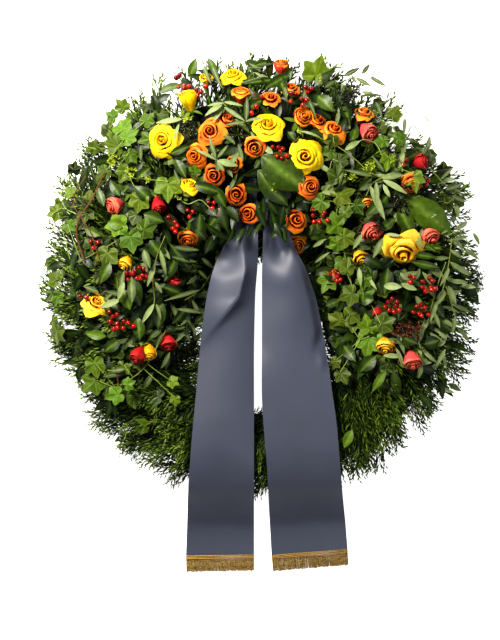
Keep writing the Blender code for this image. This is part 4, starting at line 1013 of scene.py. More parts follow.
def scattered(count, first, last, inner, outer, seed):
    """Random places on the greenery, and a random way out and down for each leaf's tip."""
    draw = np.random.default_rng(seed)
    angle = np.radians(draw.uniform(first, last, count))
    points = ring_point(angle, draw.uniform(inner, outer, count), 1.0)
    points[:, 2] = np.maximum(points[:, 2] + draw.uniform(-0.014, 0.002, count), 0.012)
    turn = angle + draw.normal(0, 0.9, count)
    ahead = np.stack((np.cos(turn), np.sin(turn) - 0.3, draw.uniform(-0.5, 0.15, count)), axis=-1)
    ups = unit(mound_normal(points) + (0, 0, 0.5) + draw.uniform(-0.65, 0.65, (count, 3)))
    return points, unit(ahead), ups


for number, (node, (route, leaves)) in enumerate(IVY.items()):
    trail, path = vine(route, 0.006, 0.0010, IVY_VINE)
    leaves = np.array(leaves, float)
    draw = np.random.default_rng(900 + number)
    lift = 0.012 + draw.uniform(-0.004, 0.008, len(leaves))
    middles = on_mound(leaves[:, 0], leaves[:, 1], lift)
    seen = [seen_height(node, px, py, z) for px, py, z in zip(leaves[:, 0], leaves[:, 1], middles[:, 2])]
    middles = place(leaves[:, 0], leaves[:, 1], np.maximum(np.array(seen), middles[:, 2] - 0.006))
    angle = np.radians(leaves[:, 2])
    ahead = np.stack((np.cos(angle), np.sin(angle), -0.25 + 0 * angle), axis=-1)
    ups = unit(mound_normal(middles) * 0.8 + (0, 0, 0.8) + draw.uniform(-0.50, 0.50, (len(leaves), 3)))
    lengths = leaves[:, 3] * PIXEL
    parts = [ivy_leaves(middles, ahead, ups, lengths, leaves[:, 4], number), trail]
    parts.append(stalks_to(path, middles - ahead * lengths[:, None] * 0.2, 0.0006, IVY_STALK))
    count, first, last, inner, outer, dark, light = IVY_FILL[node]
    points, ways, tilts = scattered(count, first, last, inner, outer, 700 + number)
    sizes = draw.uniform(0.022, 0.038, count)
    tones = draw.uniform(dark, light, count)
    parts.append(ivy_leaves(points, ways, tilts, sizes, tones, 60 + number, small=True))
    piece_of(node.replace("ivy_trail", "ivy_vine"), parts, "ivy_leaf", [node])


# %% [markdown]
# ## Blades
# Olive leaves are a simple blade: width follows the sine of the share along it, raised to a power
# below one so that the sides run nearly straight. Broad leaves use the same blade, wider and folded
# along the rib, with side veins that show as a ripple.


# %% Blades
def blades(feet, tips, ups, widths, bend, fold, upper, lower, rib, material, power, ripple=0.0,
           rows=11, columns=7):
    """Leaves on a (row, column) grid: half width = width / 2 times sine(pi share^0.85)^power, arched
    by 4 bends times the share times 1 less the share, and folded along the rib."""
    u = np.linspace(-1, 1, columns)[None, None, :]
    v = np.linspace(0, 1, rows)[None, :, None]
    length = np.linalg.norm(tips - feet, axis=-1)[:, None, None]
    ahead = unit(tips - feet)
    across = unit(np.cross(ahead, ups))
    up = np.cross(across, ahead)
    # The share stops short of both ends, which leaves a narrow foot and tip.
    half = widths[:, None, None] / 2 * (np.sin(np.pi * np.clip(v, 0.01, 0.985) ** 0.85) ** power)
    x = u * half
    z = -bend[:, None, None] * length * 4 * v * (v - 1) + fold * np.abs(x)
    z = z + ripple * np.sin(26 * v - 9 * np.abs(u)) * np.abs(u) * widths[:, None, None]
    y = v * length * np.ones_like(x)
    grid = feet[:, None, None] + x[..., None] * across[:, None, None] + y[..., None] * ahead[:, None, None]
    grid = grid + z[..., None] * up[:, None, None]
    middle = (1 - np.abs(u)) ** 4 * 0.7 * np.ones_like(x)
    top = blend(upper[:, None, None] * np.ones_like(grid), rib, middle)
    low = blend(lower * np.ones_like(grid), rib, middle * 0.5)
    points, faces = sheets(grid, 0.0006)
    return points, faces, np.stack((top, low), axis=1).reshape(-1, 3), material


# %% [markdown]
# ## Olive sprigs
# An olive leaf is dark grey-green above and silver below, and it twists, so both sides show. Each
# seen leaf's foot and tip are pixels, and the share of silver is read off its colour.

# %% Olive
OLIVE_UPPER = linear("#283612")
OLIVE_LOWER = linear("#8c9a66")
OLIVE_STEM = linear("#727a34")
OLIVE_RIB = linear("#84965a")
OLIVE_LOOSE_RIB = linear("#74864c")
OLIVE_FOLD = 0.18
OLIVE_POWER = 0.75
# Node: stem routes in pixels, and leaves from foot to tip in pixels, width in pixels, and how much
# of the silver back shows, from 0 to 1.
OLIVE = {
    "olive_sprig_1": (
        (((165, 236), (157, 256), (153, 282), (154, 304), (144, 322)),
         ((205, 232), (217, 258), (200, 290), (185, 300)),
         ((196, 292), (188, 318), (186, 332))),
        ((160, 250, 166, 275, 5.5, 0.6), (155, 263, 147, 287, 6, 0.6), (154, 304, 142, 323, 6, 0.9),
         (156, 304, 161, 320, 4, 0.7), (155, 282, 162, 293, 5, 0.6), (174, 247, 199, 250, 6, 0.3),
         (172, 257, 197, 262, 6, 0.2), (217, 254, 230, 263, 8, 0.0), (216, 256, 219, 267, 4, 0.7),
         (200, 290, 164, 301, 5, 0.4), (176, 309, 203, 313, 5, 0.4), (124, 282, 118, 300, 7, 0.8),
         (131, 282, 132, 303, 10, 0.2), (120, 300, 100, 308, 8, 0.8), (144, 250, 150, 268, 9, 0.3),
         (185, 332, 190, 342, 5, 0.3), (186, 330, 176, 342, 5, 0.5), (206, 240, 196, 230, 6, 0.2),
         (202, 258, 213, 268, 5, 0.4), (197, 276, 187, 284, 5, 0.5), (192, 300, 199, 314, 5, 0.5),
         (190, 316, 180, 326, 5, 0.3), (198, 270, 208, 280, 5, 0.1), (188, 320, 196, 334, 5, 0.3)),
    ),
    "olive_sprig_2": (
        (((184, 92), (183, 108), (177, 122)), ((223, 103), (232, 112), (245, 122)),
         ((245, 122), (262, 118))),
        ((182, 119, 156, 123, 6.5, 1.0), (179, 124, 174, 142, 4, 0.9), (224, 103, 207, 106, 4, 0.9),
         (222, 105, 205, 116, 6, 1.0), (223, 106, 213, 122, 6, 1.0), (224, 102, 243, 106, 4, 0.8),
         (224, 107, 245, 121, 5, 0.5), (245, 122, 225, 125, 4, 0.4), (246, 121, 247, 97, 6, 0.1),
         (246, 121, 264, 118, 3.5, 0.4), (216, 160, 195, 150, 4, 0.7), (216, 159, 209, 136, 5, 0.4),
         (217, 158, 228, 145, 4, 0.4), (217, 161, 238, 166, 8, 0.8), (217, 162, 224, 171, 5, 0.5),
         (212, 64, 222, 88, 6, 0.1), (204, 66, 211, 84, 5, 0.2), (260, 78, 240, 84, 4, 0.1)),
    ),
    "olive_sprig_3": (
        (((342, 82), (352, 78), (372, 76), (380, 84)), ((362, 97), (372, 96), (380, 98)),
         ((300, 131), (320, 138), (340, 148), (356, 160), (370, 172), (382, 178)),
         ((280, 216), (268, 230), (256, 246))),
        ((268, 230, 249, 226, 5, 0.7), (262, 237, 246, 247, 4, 0.7), (265, 236, 262, 252, 3, 0.9),
         (271, 226, 263, 212, 5, 0.7), (273, 229, 285, 238, 4, 0.6), (344, 76, 360, 68, 6, 0.0),
         (362, 74, 370, 64, 5, 0.0), (370, 77, 386, 86, 5, 0.2), (356, 78, 371, 86, 5, 0.4),
         (352, 76, 357, 84, 3, 0.2), (360, 96, 384, 97, 3, 0.1), (342, 84, 341, 92, 3, 0.4),
         (376, 102, 382, 118, 5, 0.1), (362, 92, 376, 96, 5, 0.7), (300, 131, 320, 137, 3, 0.9),
         (345, 150, 360, 141, 7, 0.8), (405, 119, 404, 136, 4, 0.1), (408, 142, 400, 157, 4, 0.5),
         (292, 66, 290, 80, 5, 0.0), (306, 95, 316, 118, 5, 0.1), (426, 154, 430, 136, 6, 0.3),
         (423, 155, 430, 140, 4, 0.1)),
    ),
    "olive_sprig_4": (
        (((392, 174), (382, 178), (372, 184), (366, 196)),
         ((452, 238), (449, 262), (444, 286), (434, 312)),
         ((446, 262), (436, 290), (428, 322)), ((446, 286), (452, 306), (458, 326)),
         ((430, 168), (444, 184), (456, 196))),
        ((382, 178, 403, 175, 8, 0.7), (383, 180, 407, 194, 7, 1.0), (370, 186, 385, 220, 8, 0.8),
         (376, 182, 377, 208, 6, 0.7), (372, 176, 345, 170, 5, 0.4), (384, 172, 372, 156, 4, 0.3),
         (362, 234, 353, 249, 6, 0.7), (383, 238, 373, 258, 7, 0.5), (410, 231, 422, 248, 6, 1.0),
         (386, 234, 402, 236, 4, 0.9), (326, 239, 313, 247, 5, 0.7), (330, 252, 315, 263, 4, 0.7),
         (359, 268, 361, 286, 6, 0.8), (369, 278, 377, 290, 4, 0.8), (384, 286, 402, 287, 9, 0.9),
         (455, 230, 467, 222, 6, 0.6), (452, 240, 468, 236, 5, 0.6), (450, 262, 470, 276, 6, 1.0),
         (449, 268, 440, 286, 5, 0.6), (448, 286, 456, 304, 7, 0.8), (446, 292, 436, 306, 5, 0.5),
         (452, 304, 470, 312, 5, 0.6), (455, 316, 452, 334, 5, 0.5), (438, 300, 430, 322, 5, 0.5),
         (450, 250, 462, 258, 5, 0.7), (446, 190, 462, 184, 5, 0.4), (452, 196, 466, 202, 5, 0.5),
         (440, 180, 452, 168, 4, 0.4), (444, 276, 458, 284, 5, 0.8), (434, 312, 440, 328, 5, 0.5)),
    ),
}

# Node: how many loose leaves, then the spans of angle, share across the ring and silver.
OLIVE_FILL = {
    "olive_sprig_1": (44, 150, 216, -0.12, 0.70, 0.0, 0.3),
    "olive_sprig_2": (30, 92, 138, 0.10, 1.00, 0.0, 0.6),
    "olive_sprig_3": (36, 38, 92, 0.30, 1.06, 0.0, 0.8),
    "olive_sprig_4": (96, -26, 46, 0.45, 1.06, 0.3, 1.0),
}

for number, (node, (routes, leaves)) in enumerate(OLIVE.items()):
    parts = [vine(route, 0.012, 0.0009, OLIVE_STEM, 20)[0] for route in routes]
    leaves = np.array(leaves, float)
    draw = np.random.default_rng(950 + number)
    lift = 0.017 + draw.uniform(-0.004, 0.008, len(leaves))
    feet = on_mound(leaves[:, 0], leaves[:, 1], lift)
    tips = on_mound(leaves[:, 2], leaves[:, 3], lift + draw.uniform(0.0, 0.012, len(leaves)))
    ups = unit(mound_normal(feet) + (0, 0, 1.0) + draw.uniform(-0.4, 0.4, (len(leaves), 3)))
    silver = blend(OLIVE_UPPER, OLIVE_LOWER, leaves[:, 5] * 0.85)
    other = blend(OLIVE_LOWER, OLIVE_UPPER, leaves[:, 5])[:, None, None]
    bend = draw.uniform(0.0, 0.12, len(leaves))
    widths = leaves[:, 4] * 0.85 * PIXEL
    parts.append(blades(feet, tips, ups, widths, bend, OLIVE_FOLD, silver, other, OLIVE_RIB,
                        "olive leaf", OLIVE_POWER))
    count, first, last, inner, outer, dark, light = OLIVE_FILL[node]
    points, ways, tilts = scattered(count, first, last, inner, outer, 850 + number)
    points[:, 2] += 0.008
    reach = ways * draw.uniform(0.012, 0.020, count)[:, None]
    tones = blend(OLIVE_UPPER, OLIVE_LOWER, draw.uniform(dark, light, count))
    widths = draw.uniform(0.007, 0.011, count)
    bend = draw.uniform(0.0, 0.14, count)
    parts.append(blades(points - reach, points + reach, tilts, widths, bend, OLIVE_FOLD, tones,
                        OLIVE_LOWER, OLIVE_LOOSE_RIB, "olive leaf", OLIVE_POWER, rows=8, columns=5))
    piece_of(node.replace("olive_sprig", "olive_branch"), parts, "olive_leaf", [node])

# %% [markdown]
# ## Broad leaves
# The darkest green comes from waxed laurel-like leaves, and it fills the gaps between everything
# else. Two large ones lie open beside the yellow roses. A few hang over the tails' gathered roots.
# The loose leaves in the gaps and those over the roots are darkened copies of the green, with darker
# ribs, as painted shade.

# %% Broad leaves
BROAD_UPPER = linear("#152506")
BROAD_LOWER = linear("#4c6024")
BROAD_LIGHT = linear("#587212")
BROAD_RIB = linear("#647c2e")
LOOSE_SHADED_RIB = linear("#2e4210")
HUNG_SHADED_RIB = linear("#33481a")
BROAD_FOLD = 0.16
BROAD_POWER = 0.9
VEIN_RIPPLE = 0.012
# Node: leaves from foot to tip in pixels, width in pixels and lightness.
BROAD = {
    "broad_leaves_1": (
        (262, 156, 306, 190, 36, 0.16), (258, 170, 288, 206, 22, 0.12),
        (214, 186, 226, 208, 12, 0.14), (192, 184, 222, 193, 11, 0.05), (276, 80, 244, 84, 8, 0.05),
        (254, 66, 276, 62, 9, 0.1), (190, 78, 196, 58, 10, 0.4), (216, 76, 208, 58, 8, 0.3),
        (160, 92, 184, 86, 12, 0.3), (262, 100, 246, 110, 9, 0.1), (266, 88, 292, 74, 11, 0.1),
        (286, 96, 276, 72, 10, 0.05), (318, 96, 334, 112, 14, 0.3), (338, 96, 350, 126, 14, 0.0),
        (288, 132, 296, 142, 8, 0.0), (352, 140, 356, 128, 9, 0.3), (224, 206, 208, 228, 12, 0.1),
        (262, 210, 252, 230, 12, 0.05), (270, 214, 282, 228, 10, 0.1), (200, 214, 196, 246, 16, 0.0),
    ),
    "broad_leaves_2": (
        (406, 198, 452, 236, 28, 0.45), (398, 208, 412, 236, 16, 0.25),
        (380, 230, 396, 218, 10, 0.2), (440, 320, 452, 332, 16, 0.1), (404, 160, 424, 150, 9, 0.1),
        (400, 172, 372, 166, 8, 0.2), (388, 196, 366, 216, 14, 0.1), (360, 190, 372, 178, 10, 0.1),
        (388, 268, 384, 296, 14, 0.0), (360, 300, 374, 300, 12, 0.1), (424, 344, 440, 340, 14, 0.0),
        (396, 334, 418, 344, 12, 0.1), (412, 262, 440, 268, 8, 0.2), (412, 254, 438, 258, 7, 0.2),
        (418, 246, 444, 250, 7, 0.3), (344, 346, 356, 362, 12, 0.1), (376, 356, 360, 372, 14, 0.1),
        (386, 370, 372, 392, 8, 0.6), (352, 430, 344, 448, 10, 0.7), (340, 300, 326, 306, 8, 0.2),
        (432, 300, 444, 318, 10, 0.2),
    ),
    "broad_leaves_3": (
        (124, 290, 130, 310, 13, 0.4), (130, 276, 140, 306, 14, 0.1), (110, 262, 100, 284, 12, 0.2),
        (106, 336, 86, 334, 10, 0.6), (160, 300, 158, 330, 13, 0.1), (138, 318, 140, 340, 13, 0.2),
        (124, 226, 108, 222, 12, 0.7), (144, 214, 164, 222, 14, 0.1), (170, 244, 190, 270, 14, 0.0),
        (150, 240, 166, 262, 14, 0.1), (150, 200, 134, 186, 12, 0.1), (120, 196, 110, 180, 9, 0.2),
        (176, 160, 186, 178, 10, 0.1), (170, 154, 190, 146, 8, 0.1), (104, 206, 98, 188, 8, 0.2),
        (160, 286, 186, 296, 12, 0.0), (120, 340, 104, 352, 12, 0.1), (186, 306, 172, 324, 12, 0.0),
        (100, 236, 84, 228, 9, 0.3), (150, 168, 136, 180, 10, 0.1), (176, 256, 164, 282, 12, 0.05),
    ),
}

# Leaves that hang over the gathered roots of the tails, coloured dark as painted shade: foot and tip in
# pixels, and width.
OVER_TAILS = np.array((
    (206, 224, 230, 240, 9), (221, 206, 228, 232, 11), (234, 226, 226, 244, 8), (263, 198, 262, 222, 8),
    (244, 228, 236, 242, 7), (262, 222, 254, 238, 5), (271, 212, 275, 234, 8), (284, 206, 279, 229, 9),
    (281, 228, 270, 240, 6), (212, 236, 205, 254, 8), (214, 212, 236, 226, 10), (226, 206, 239, 222, 9),
    (252, 226, 246, 238, 6), (268, 200, 280, 216, 10), (283, 228, 287, 243, 7), (274, 222, 282, 238, 7),
    (256, 206, 266, 228, 8), (218, 222, 214, 240, 8), (238, 208, 232, 230, 8),
), float)

# Node: how many darker leaves fill the gaps, darkened as painted shade, then the spans as for ivy.
BROAD_FILL = {
    "broad_leaves_1": (124, 62, 118, -0.04, 0.99, 0.0, 0.30),
    "broad_leaves_2": (136, -36, 62, -0.10, 0.98, 0.0, 0.32),
    "broad_leaves_3": (170, 118, 216, -0.10, 0.95, 0.0, 0.10),
}

for number, (node, leaves) in enumerate(BROAD.items()):
    leaves = np.array(leaves, float)
    draw = np.random.default_rng(980 + number)
    lift = 0.006 + draw.uniform(-0.004, 0.006, len(leaves))
    feet = on_mound(leaves[:, 0], leaves[:, 1], lift)
    tips = on_mound(leaves[:, 2], leaves[:, 3], lift + 0.003)
    ups = unit(mound_normal((feet + tips) / 2) + (0, 0, 0.8) + draw.uniform(-0.3, 0.3, (len(leaves), 3)))
    green = blend(BROAD_UPPER, BROAD_LIGHT, leaves[:, 5])
    bend = draw.uniform(0.04, 0.12, len(leaves))
    parts = [blades(feet, tips, ups, leaves[:, 4] * PIXEL, bend, BROAD_FOLD, green, BROAD_LOWER, BROAD_RIB,
                    "waxed leaf", BROAD_POWER, VEIN_RIPPLE, rows=15)]
    count, first, last, inner, outer, dark, light = BROAD_FILL[node]
    points, ways, tilts = scattered(count, first, last, inner, outer, 800 + number)
    sizes = draw.uniform(0.030, 0.052, count)
    # Painted shade: the loose leaves start from 0.6 of the upper green.
    tones = blend(BROAD_UPPER * 0.6, BROAD_LIGHT, draw.uniform(dark, light, count) ** 1.5)
    reach = ways * sizes[:, None] / 2
    widths = sizes * draw.uniform(0.30, 0.46, count)
    bend = draw.uniform(0.02, 0.14, count)
    parts.append(blades(points - reach, points + reach, tilts, widths, bend, BROAD_FOLD, tones,
                        BROAD_LOWER, LOOSE_SHADED_RIB, "waxed leaf", BROAD_POWER, rows=8, columns=5))
    if node == "broad_leaves_1":
        hung = len(OVER_TAILS)
        feet_hung = place(OVER_TAILS[:, 0], OVER_TAILS[:, 1], draw.uniform(0.114, 0.136, hung))
        tips_hung = place(OVER_TAILS[:, 2], OVER_TAILS[:, 3], draw.uniform(0.114, 0.136, hung))
        # Painted shade: the hung leaves start from half the upper green.
        hung_shaded_greens = blend(BROAD_UPPER * 0.5, BROAD_LIGHT, draw.uniform(0.0, 0.08, hung))
        ups_hung = unit((0.0, 0.0, 1.0) + draw.uniform(-0.5, 0.5, (hung, 3)))
        parts.append(blades(feet_hung, tips_hung, ups_hung, OVER_TAILS[:, 4] * PIXEL, np.full(hung, 0.08),
                            BROAD_FOLD, hung_shaded_greens, BROAD_LOWER, HUNG_SHADED_RIB, "waxed leaf", BROAD_POWER,
                            rows=9, columns=5))
    foot_path = feet[:, None] - UP * np.linspace(0, 0.05, 4)[:, None]
    parts.append((*tubes(foot_path, 0.0010, 5, FLAT_ASKEW), STEM, "green stem"))
    piece_of(node.replace("broad_leaves", "laurel_leaves"), parts, "broad_leaf", [node])

# %% [markdown]
# ## Berries
# A berry is a closed tube whose girth is a circle's, with a lighter point at its end and a small
# calyx at its stalk. A sphere would be as round, but a tube also carries the colour along it. Berries
# sit in loose sprays on thin stalks that meet under them.


# %% Berries
BERRY_RED = linear("#920803")
BERRY_TIP = linear("#b0300c")
BERRY_DARK = linear("#12121c")
BERRY_DARK_TIP = linear("#4a3a30")
BERRY_STALK = linear("#6e7c34")
BERRY_CALYX = linear("#7d8f3c")
# Radii of a berry, and how much longer than wide it is.
RED_RADIUS = 0.0046
DARK_RADIUS = 0.0028
LONG = 1.12
BERRY_SIDES = 9


def berries(centres, axes, radii, colour, tip):
    """Radius = girth times the square root of 1 less the squared share along the axis, a little
    fuller towards the tip."""
    share = np.linspace(-0.985, 0.985, 8)
    path = centres[:, None] + axes[:, None] * (share * LONG)[None, :, None] * radii[:, None, None]
    girth = np.sqrt(1 - share**2)[None] * (1 + 0.10 * share)[None] * radii[:, None]
    points, faces = tubes(path, girth, BERRY_SIDES, (0.23, 0.91, 0.34))
    warm = np.repeat(np.clip(share - 0.72, 0, 1) * 2, BERRY_SIDES)[None, :, None]
    warm = warm * np.ones((len(centres), 1, 1))
    # The first berries of a spray are the ripest, and darkest.
    ripe = np.linspace(0.45, 1.15, len(centres))[:, None, None]
    colours = blend(colour * np.ones(3), tip, warm[..., 0]) * ripe
    return points, faces, colours.reshape(-1, 3), "berry skin"


def cluster(node, px, py, spots, radius, colour, tip, seed, lift=0.012):
    """Berries at spots given in pixels round (px, py), each on a stalk from one point below them,
    with five short sepals at its foot."""
    draw = np.random.default_rng(seed)
    spots = np.array(spots, float)
    spots = (spots + draw.uniform(-1.8, 1.8, spots.shape)) * draw.uniform(0.66, 0.95) + (px, py)
    heights = lift + draw.uniform(-0.008, 0.006, len(spots))
    top = seen_height(node, px, py, 0.0)
    centres = on_mound(spots[:, 0], spots[:, 1], heights)
    rise = np.clip(top - centres[:, 2].mean(), 0, 0.03) if top else 0.0
    centres = place(spots[:, 0], spots[:, 1], centres[:, 2] + rise)
    root = centres.mean(axis=0) - (0, 0, 0.020)
    axes = unit(unit(centres - root) + draw.uniform(-0.5, 0.5, centres.shape))
    size = radius * draw.uniform(0.88, 1.1, len(spots))
    share = np.linspace(0, 1, 5)[None, :, None]
    foot = centres - axes * size[:, None]
    line = root * (1 - share) + foot[:, None] * share + 0.003 * np.sin(np.pi * share) * UP
    parts = [berries(centres, axes, size, colour, tip),
                     (*tubes(line, 0.0005, 4), BERRY_STALK, "green stem")]
    knee = np.append(root[:2], max(root[2] - 0.03, 0.025))
    down = np.array((root, knee, np.append(RING + unit(root[:2] - RING) * RING_RADIUS, FOAM_HEIGHT)))
    parts.append((*tubes(curve_through(down, 8)[None], 0.0010, 5, FLAT_ASKEW), BERRY_STALK, "green stem"))
    u = np.linspace(-1, 1, 3)[None, None, :]
    v = np.linspace(0, 1, 3)[None, :, None]
    turn = (2 * np.pi * np.arange(5) / 5)[:, None, None]
    angle = turn + 0.45 * u * (1 - v)
    side, other = axes_of(axes, np.broadcast_to((0.4, 0.8, 0.3), axes.shape))
    flat = np.stack((np.cos(angle) * np.ones_like(v), np.sin(angle) * np.ones_like(v)), axis=-1)
    out = (0.25 + 0.65 * v) * np.ones_like(angle)
    up = -1.02 + 0.12 * v * np.ones_like(angle)
    grid = side[:, None, None, None] * flat[None, ..., :1]
    grid = grid + other[:, None, None, None] * flat[None, ..., 1:]
    grid = grid * out[None, ..., None] + axes[:, None, None, None] * up[None, ..., None]
    grid = centres[:, None, None, None] + grid * size[:, None, None, None, None]
    parts.append((*sheets(grid.reshape(-1, 3, 3, 3), 0.0005), BERRY_CALYX, "green stem"))
    return parts


# Offsets of berries in a spray, in pixels.
SPRAY_LARGE = ((-9, -10), (-4, -6), (1, -7), (-5, 1), (7, 0), (1, 0),
               (-3, 9), (2, 8), (9, 8), (16, 0), (19, 5))
SPRAY_CHAIN = ((-5, -7), (-4, -3), (3, -1), (7, 4), (0, 10), (4, 15))
SPRAY_DENSE = ((-6, -6), (0, -8), (5, -5), (-8, 0), (3, 0), (-4, 5), (2, 6), (8, 4))
SPRAY_SMALL = ((-3, -4), (3, -2), (-1, 4))
# Node: for each spray its pixel and its offsets.
RED_BERRIES = {
    "red_berries_1": ((181, 84, SPRAY_DENSE), (199, 92, SPRAY_SMALL), (206, 83, SPRAY_SMALL),
                      (258, 98, SPRAY_SMALL), (252, 110, SPRAY_SMALL)),
    "red_berries_2": ((116, 322, SPRAY_LARGE), (84, 300, SPRAY_SMALL), (94, 245, SPRAY_SMALL)),
    "red_berries_3": ((172, 222, SPRAY_CHAIN), (140, 274, SPRAY_DENSE), (128, 277, SPRAY_SMALL),
                      (212, 205, SPRAY_SMALL), (220, 212, SPRAY_SMALL), (190, 214, SPRAY_SMALL)),
    "red_berries_4": ((411, 280, SPRAY_SMALL), (429, 286, SPRAY_DENSE), (393, 306, SPRAY_DENSE),
                      (421, 311, SPRAY_DENSE), (336, 276, SPRAY_DENSE), (405, 162, SPRAY_SMALL),
                      (426, 181, SPRAY_SMALL)),
    "red_berries_5": ((303, 101, SPRAY_SMALL), (293, 97, SPRAY_SMALL), (310, 89, SPRAY_SMALL),
                      (279, 153, SPRAY_DENSE), (284, 162, SPRAY_SMALL), (319, 216, SPRAY_DENSE)),
}
DARK_BERRIES = {
    "dark_berries_1": ((190, 131, SPRAY_DENSE), (184, 126, SPRAY_DENSE), (238, 134, SPRAY_DENSE),
                       (261, 74, SPRAY_SMALL), (236, 210, SPRAY_DENSE)),
    "dark_berries_2": ((394, 202, SPRAY_DENSE), (402, 206, SPRAY_DENSE), (338, 108, SPRAY_DENSE),
                       (354, 92, SPRAY_DENSE), (408, 330, SPRAY_DENSE), (400, 326, SPRAY_SMALL)),
}
for number, (node, sprays_here) in enumerate((RED_BERRIES | DARK_BERRIES).items()):
    slot, radius, colour, tip = "dark_berry", DARK_RADIUS, BERRY_DARK, BERRY_DARK_TIP
    if node.startswith("red"):
        slot, radius, colour, tip = "red_berry", RED_RADIUS, BERRY_RED, BERRY_TIP
    parts = []
    for k, (px, py, spots) in enumerate(sprays_here):
        parts += cluster(node, px, py, spots, radius, colour, tip, 31 * number + k)
    piece_of(node.replace("berries", "berry_spray"), parts, slot, [node], 60)

# %% [markdown]
# ## Small trim
# Lady's mantle flowers are yellow-green froth: each floret is a star of six short points. Dark
# needles and brown seed heads are stars too, with longer or fewer points. Three lengths of bare brown
# vine and a few pale tendrils finish the filling, and they are tubes as the ivy's vines are.

# %% Florets, needles and brown vine
# Pixel, count of florets and spread in pixels.
FLORETS = ((186, 117, 26, 6), (113, 159, 22, 7), (147, 179, 14, 5), (279, 186, 22, 6), (369, 166, 26, 7),
           (300, 131, 10, 4), (320, 79, 12, 4), (130, 172, 18, 6), (392, 158, 16, 6), (176, 196, 10, 4),
           (352, 178, 12, 5), (214, 150, 10, 4))
# The same for needles.
NEEDLES = ((346, 96, 34, 9), (404, 190, 16, 7), (378, 224, 14, 7))


def bursts(px, py, count, spread, rays, reach, width, lift, colour, seed):
    """Slim points that leave random places round a pixel, each place with its own few rays. The
    places lie by a bell curve, and the rays go every way but mostly up."""
    draw = np.random.default_rng(seed)
    spots = draw.normal(0, spread / 2, (count, 2)) + (px, py)
    middles = on_mound(spots[:, 0], spots[:, 1], lift + draw.uniform(-0.006, 0.004, count))
    ways = unit(draw.normal(0, 1, (count, rays, 3)) + (0, 0, 0.6))
    ends = middles[:, None] + ways * reach * draw.uniform(0.7, 1.2, (count, rays, 1))
    starts = np.repeat(middles, rays, axis=0)
    points, faces = spindles(starts, ends.reshape(-1, 3), np.full(len(starts), width))
    return points, faces, colour, "green stem"


FLORET = linear("#98a82c")
NEEDLE = linear("#10180c")
SEED = linear("#5c2a14")
BROWN = linear("#5c3a1e")
PALE = linear("#8c9c54")
froth = [bursts(px, py, count, spread, 6, 0.0042, 0.0022, 0.016, FLORET, 40 + k)
         for k, (px, py, count, spread) in enumerate(FLORETS)]
needles = [bursts(px, py, count, spread, 5, 0.012, 0.0016, 0.016, NEEDLE, 70 + k)
           for k, (px, py, count, spread) in enumerate(NEEDLES)]
seeds = [bursts(px, 330, 26, 9, 5, 0.005, 0.0028, 0.018, SEED, px) for px in (402, 414)]
piece_of("ladys_mantle_florets", froth, "ivy_leaf")
piece_of("dark_needles", needles, "conifer")
piece_of("seed_heads", seeds, "conifer")

# Routes of bare vine in pixels, with the height over the greenery and the radius.
BARE_VINES = (
    (((105, 171), (89, 204), (79, 218), (76.5, 230), (84, 260)), 0.014, 0.0014),
    (((86, 176), (74, 196), (92, 236), (100, 262)), 0.016, 0.0010),
    (((115, 365), (117, 376), (119, 387)), 0.010, 0.0012),
)
TENDRILS = (
    ((388, 112), (402, 103), (418, 108), (430, 124), (437, 140)),
    ((396, 124), (410, 112), (426, 118), (441, 134)),
    ((404, 140), (416, 128), (422, 140), (434, 148)),
    ((72, 184), (62, 192), (64, 206), (76, 214)),
    ((70, 214), (58, 210), (50, 218), (54, 230)),
    ((446, 236), (460, 232), (468, 244), (462, 258)),
    ((352, 150), (362, 140), (376, 144), (382, 156)),
    ((176, 196), (188, 204), (200, 200), (210, 208)),
)
brown = [vine(route, lift, radius, BROWN)[0] for route, lift, radius in BARE_VINES]
piece_of("brown_vine", brown, "ivy_leaf")
piece_of("ivy_tendrils", [vine(route, 0.016, 0.0008, PALE)[0] for route in TENDRILS], "ivy_leaf")

# %% [markdown]
# ## The ribbon
# Satin tails hang from the top. The edges of each tail are read off the photograph, and the cloth
# between them is drawn together at its root, where it folds, and lies smooth lower down. Where the
# edges are closer than the ribbon is wide, the spare cloth rises as an arch. A cloth simulation would
# make folds of its own, so these are bumps and ridges set where the photograph shows them.

# %% Ribbon shape
TAIL_ROWS, TAIL_COLUMNS = 121, 41


def bump_at(px, py, x, y, wide, tall, turn=0.0):
    """A soft bump: e to the minus squared distance, in widths along a turned pair of axes."""
    c, s = math.cos(math.radians(turn)), math.sin(math.radians(turn))
    a, b = (px - x) * c + (py - y) * s, (py - y) * c - (px - x) * s
    return np.exp(-((a / wide) ** 2) - (b / tall) ** 2)


def tail_grid(stations, folds, phase):
    """Rows run down the tail and columns across it: the edges are smooth curves through the
    stations, and the height between them is the stations' height plus pleats, an arch and folds."""
    rows = curve_through(stations[:, [1, 0, 2, 3, 4]], TAIL_ROWS)
    u = np.linspace(0, 1, TAIL_COLUMNS)[None]
    px = rows[:, :1] + (rows[:, 2:3] - rows[:, :1]) * u
    py = rows[:, 1:2] + (rows[:, 3:4] - rows[:, 1:2]) * u
    height = rows[:, 4:5] * 0.001
    chord = (rows[:, 2:3] - rows[:, :1]) * PIXEL
    spare = np.clip(RIBBON_WIDTH / chord - 1, 0, None)
    fade = 1 - smooth_step(py, 205, 256)
    pleat = fade * 0.30 * np.sqrt(np.clip((RIBBON_WIDTH / 4) ** 2 - (chord / 4) ** 2, 0, None))
    pleat = pleat * (0.6 + 0.4 * smooth_step(py, 190, 230))
    arch = chord * np.sqrt(0.375 * np.clip(spare, 0, 0.35)) * smooth_step(spare, 0, 0.12)
    arch = arch * (1 - fade) * (1 - smooth_step(py, 440, 500))
    wave = np.cos(4 * np.pi * (u - phase))
    z = height + pleat * wave - 0.32 * arch * (2 * u - 1) ** 2 + folds(px, py, u)
    return place(px, py, np.maximum(z, 0.0016))[None]


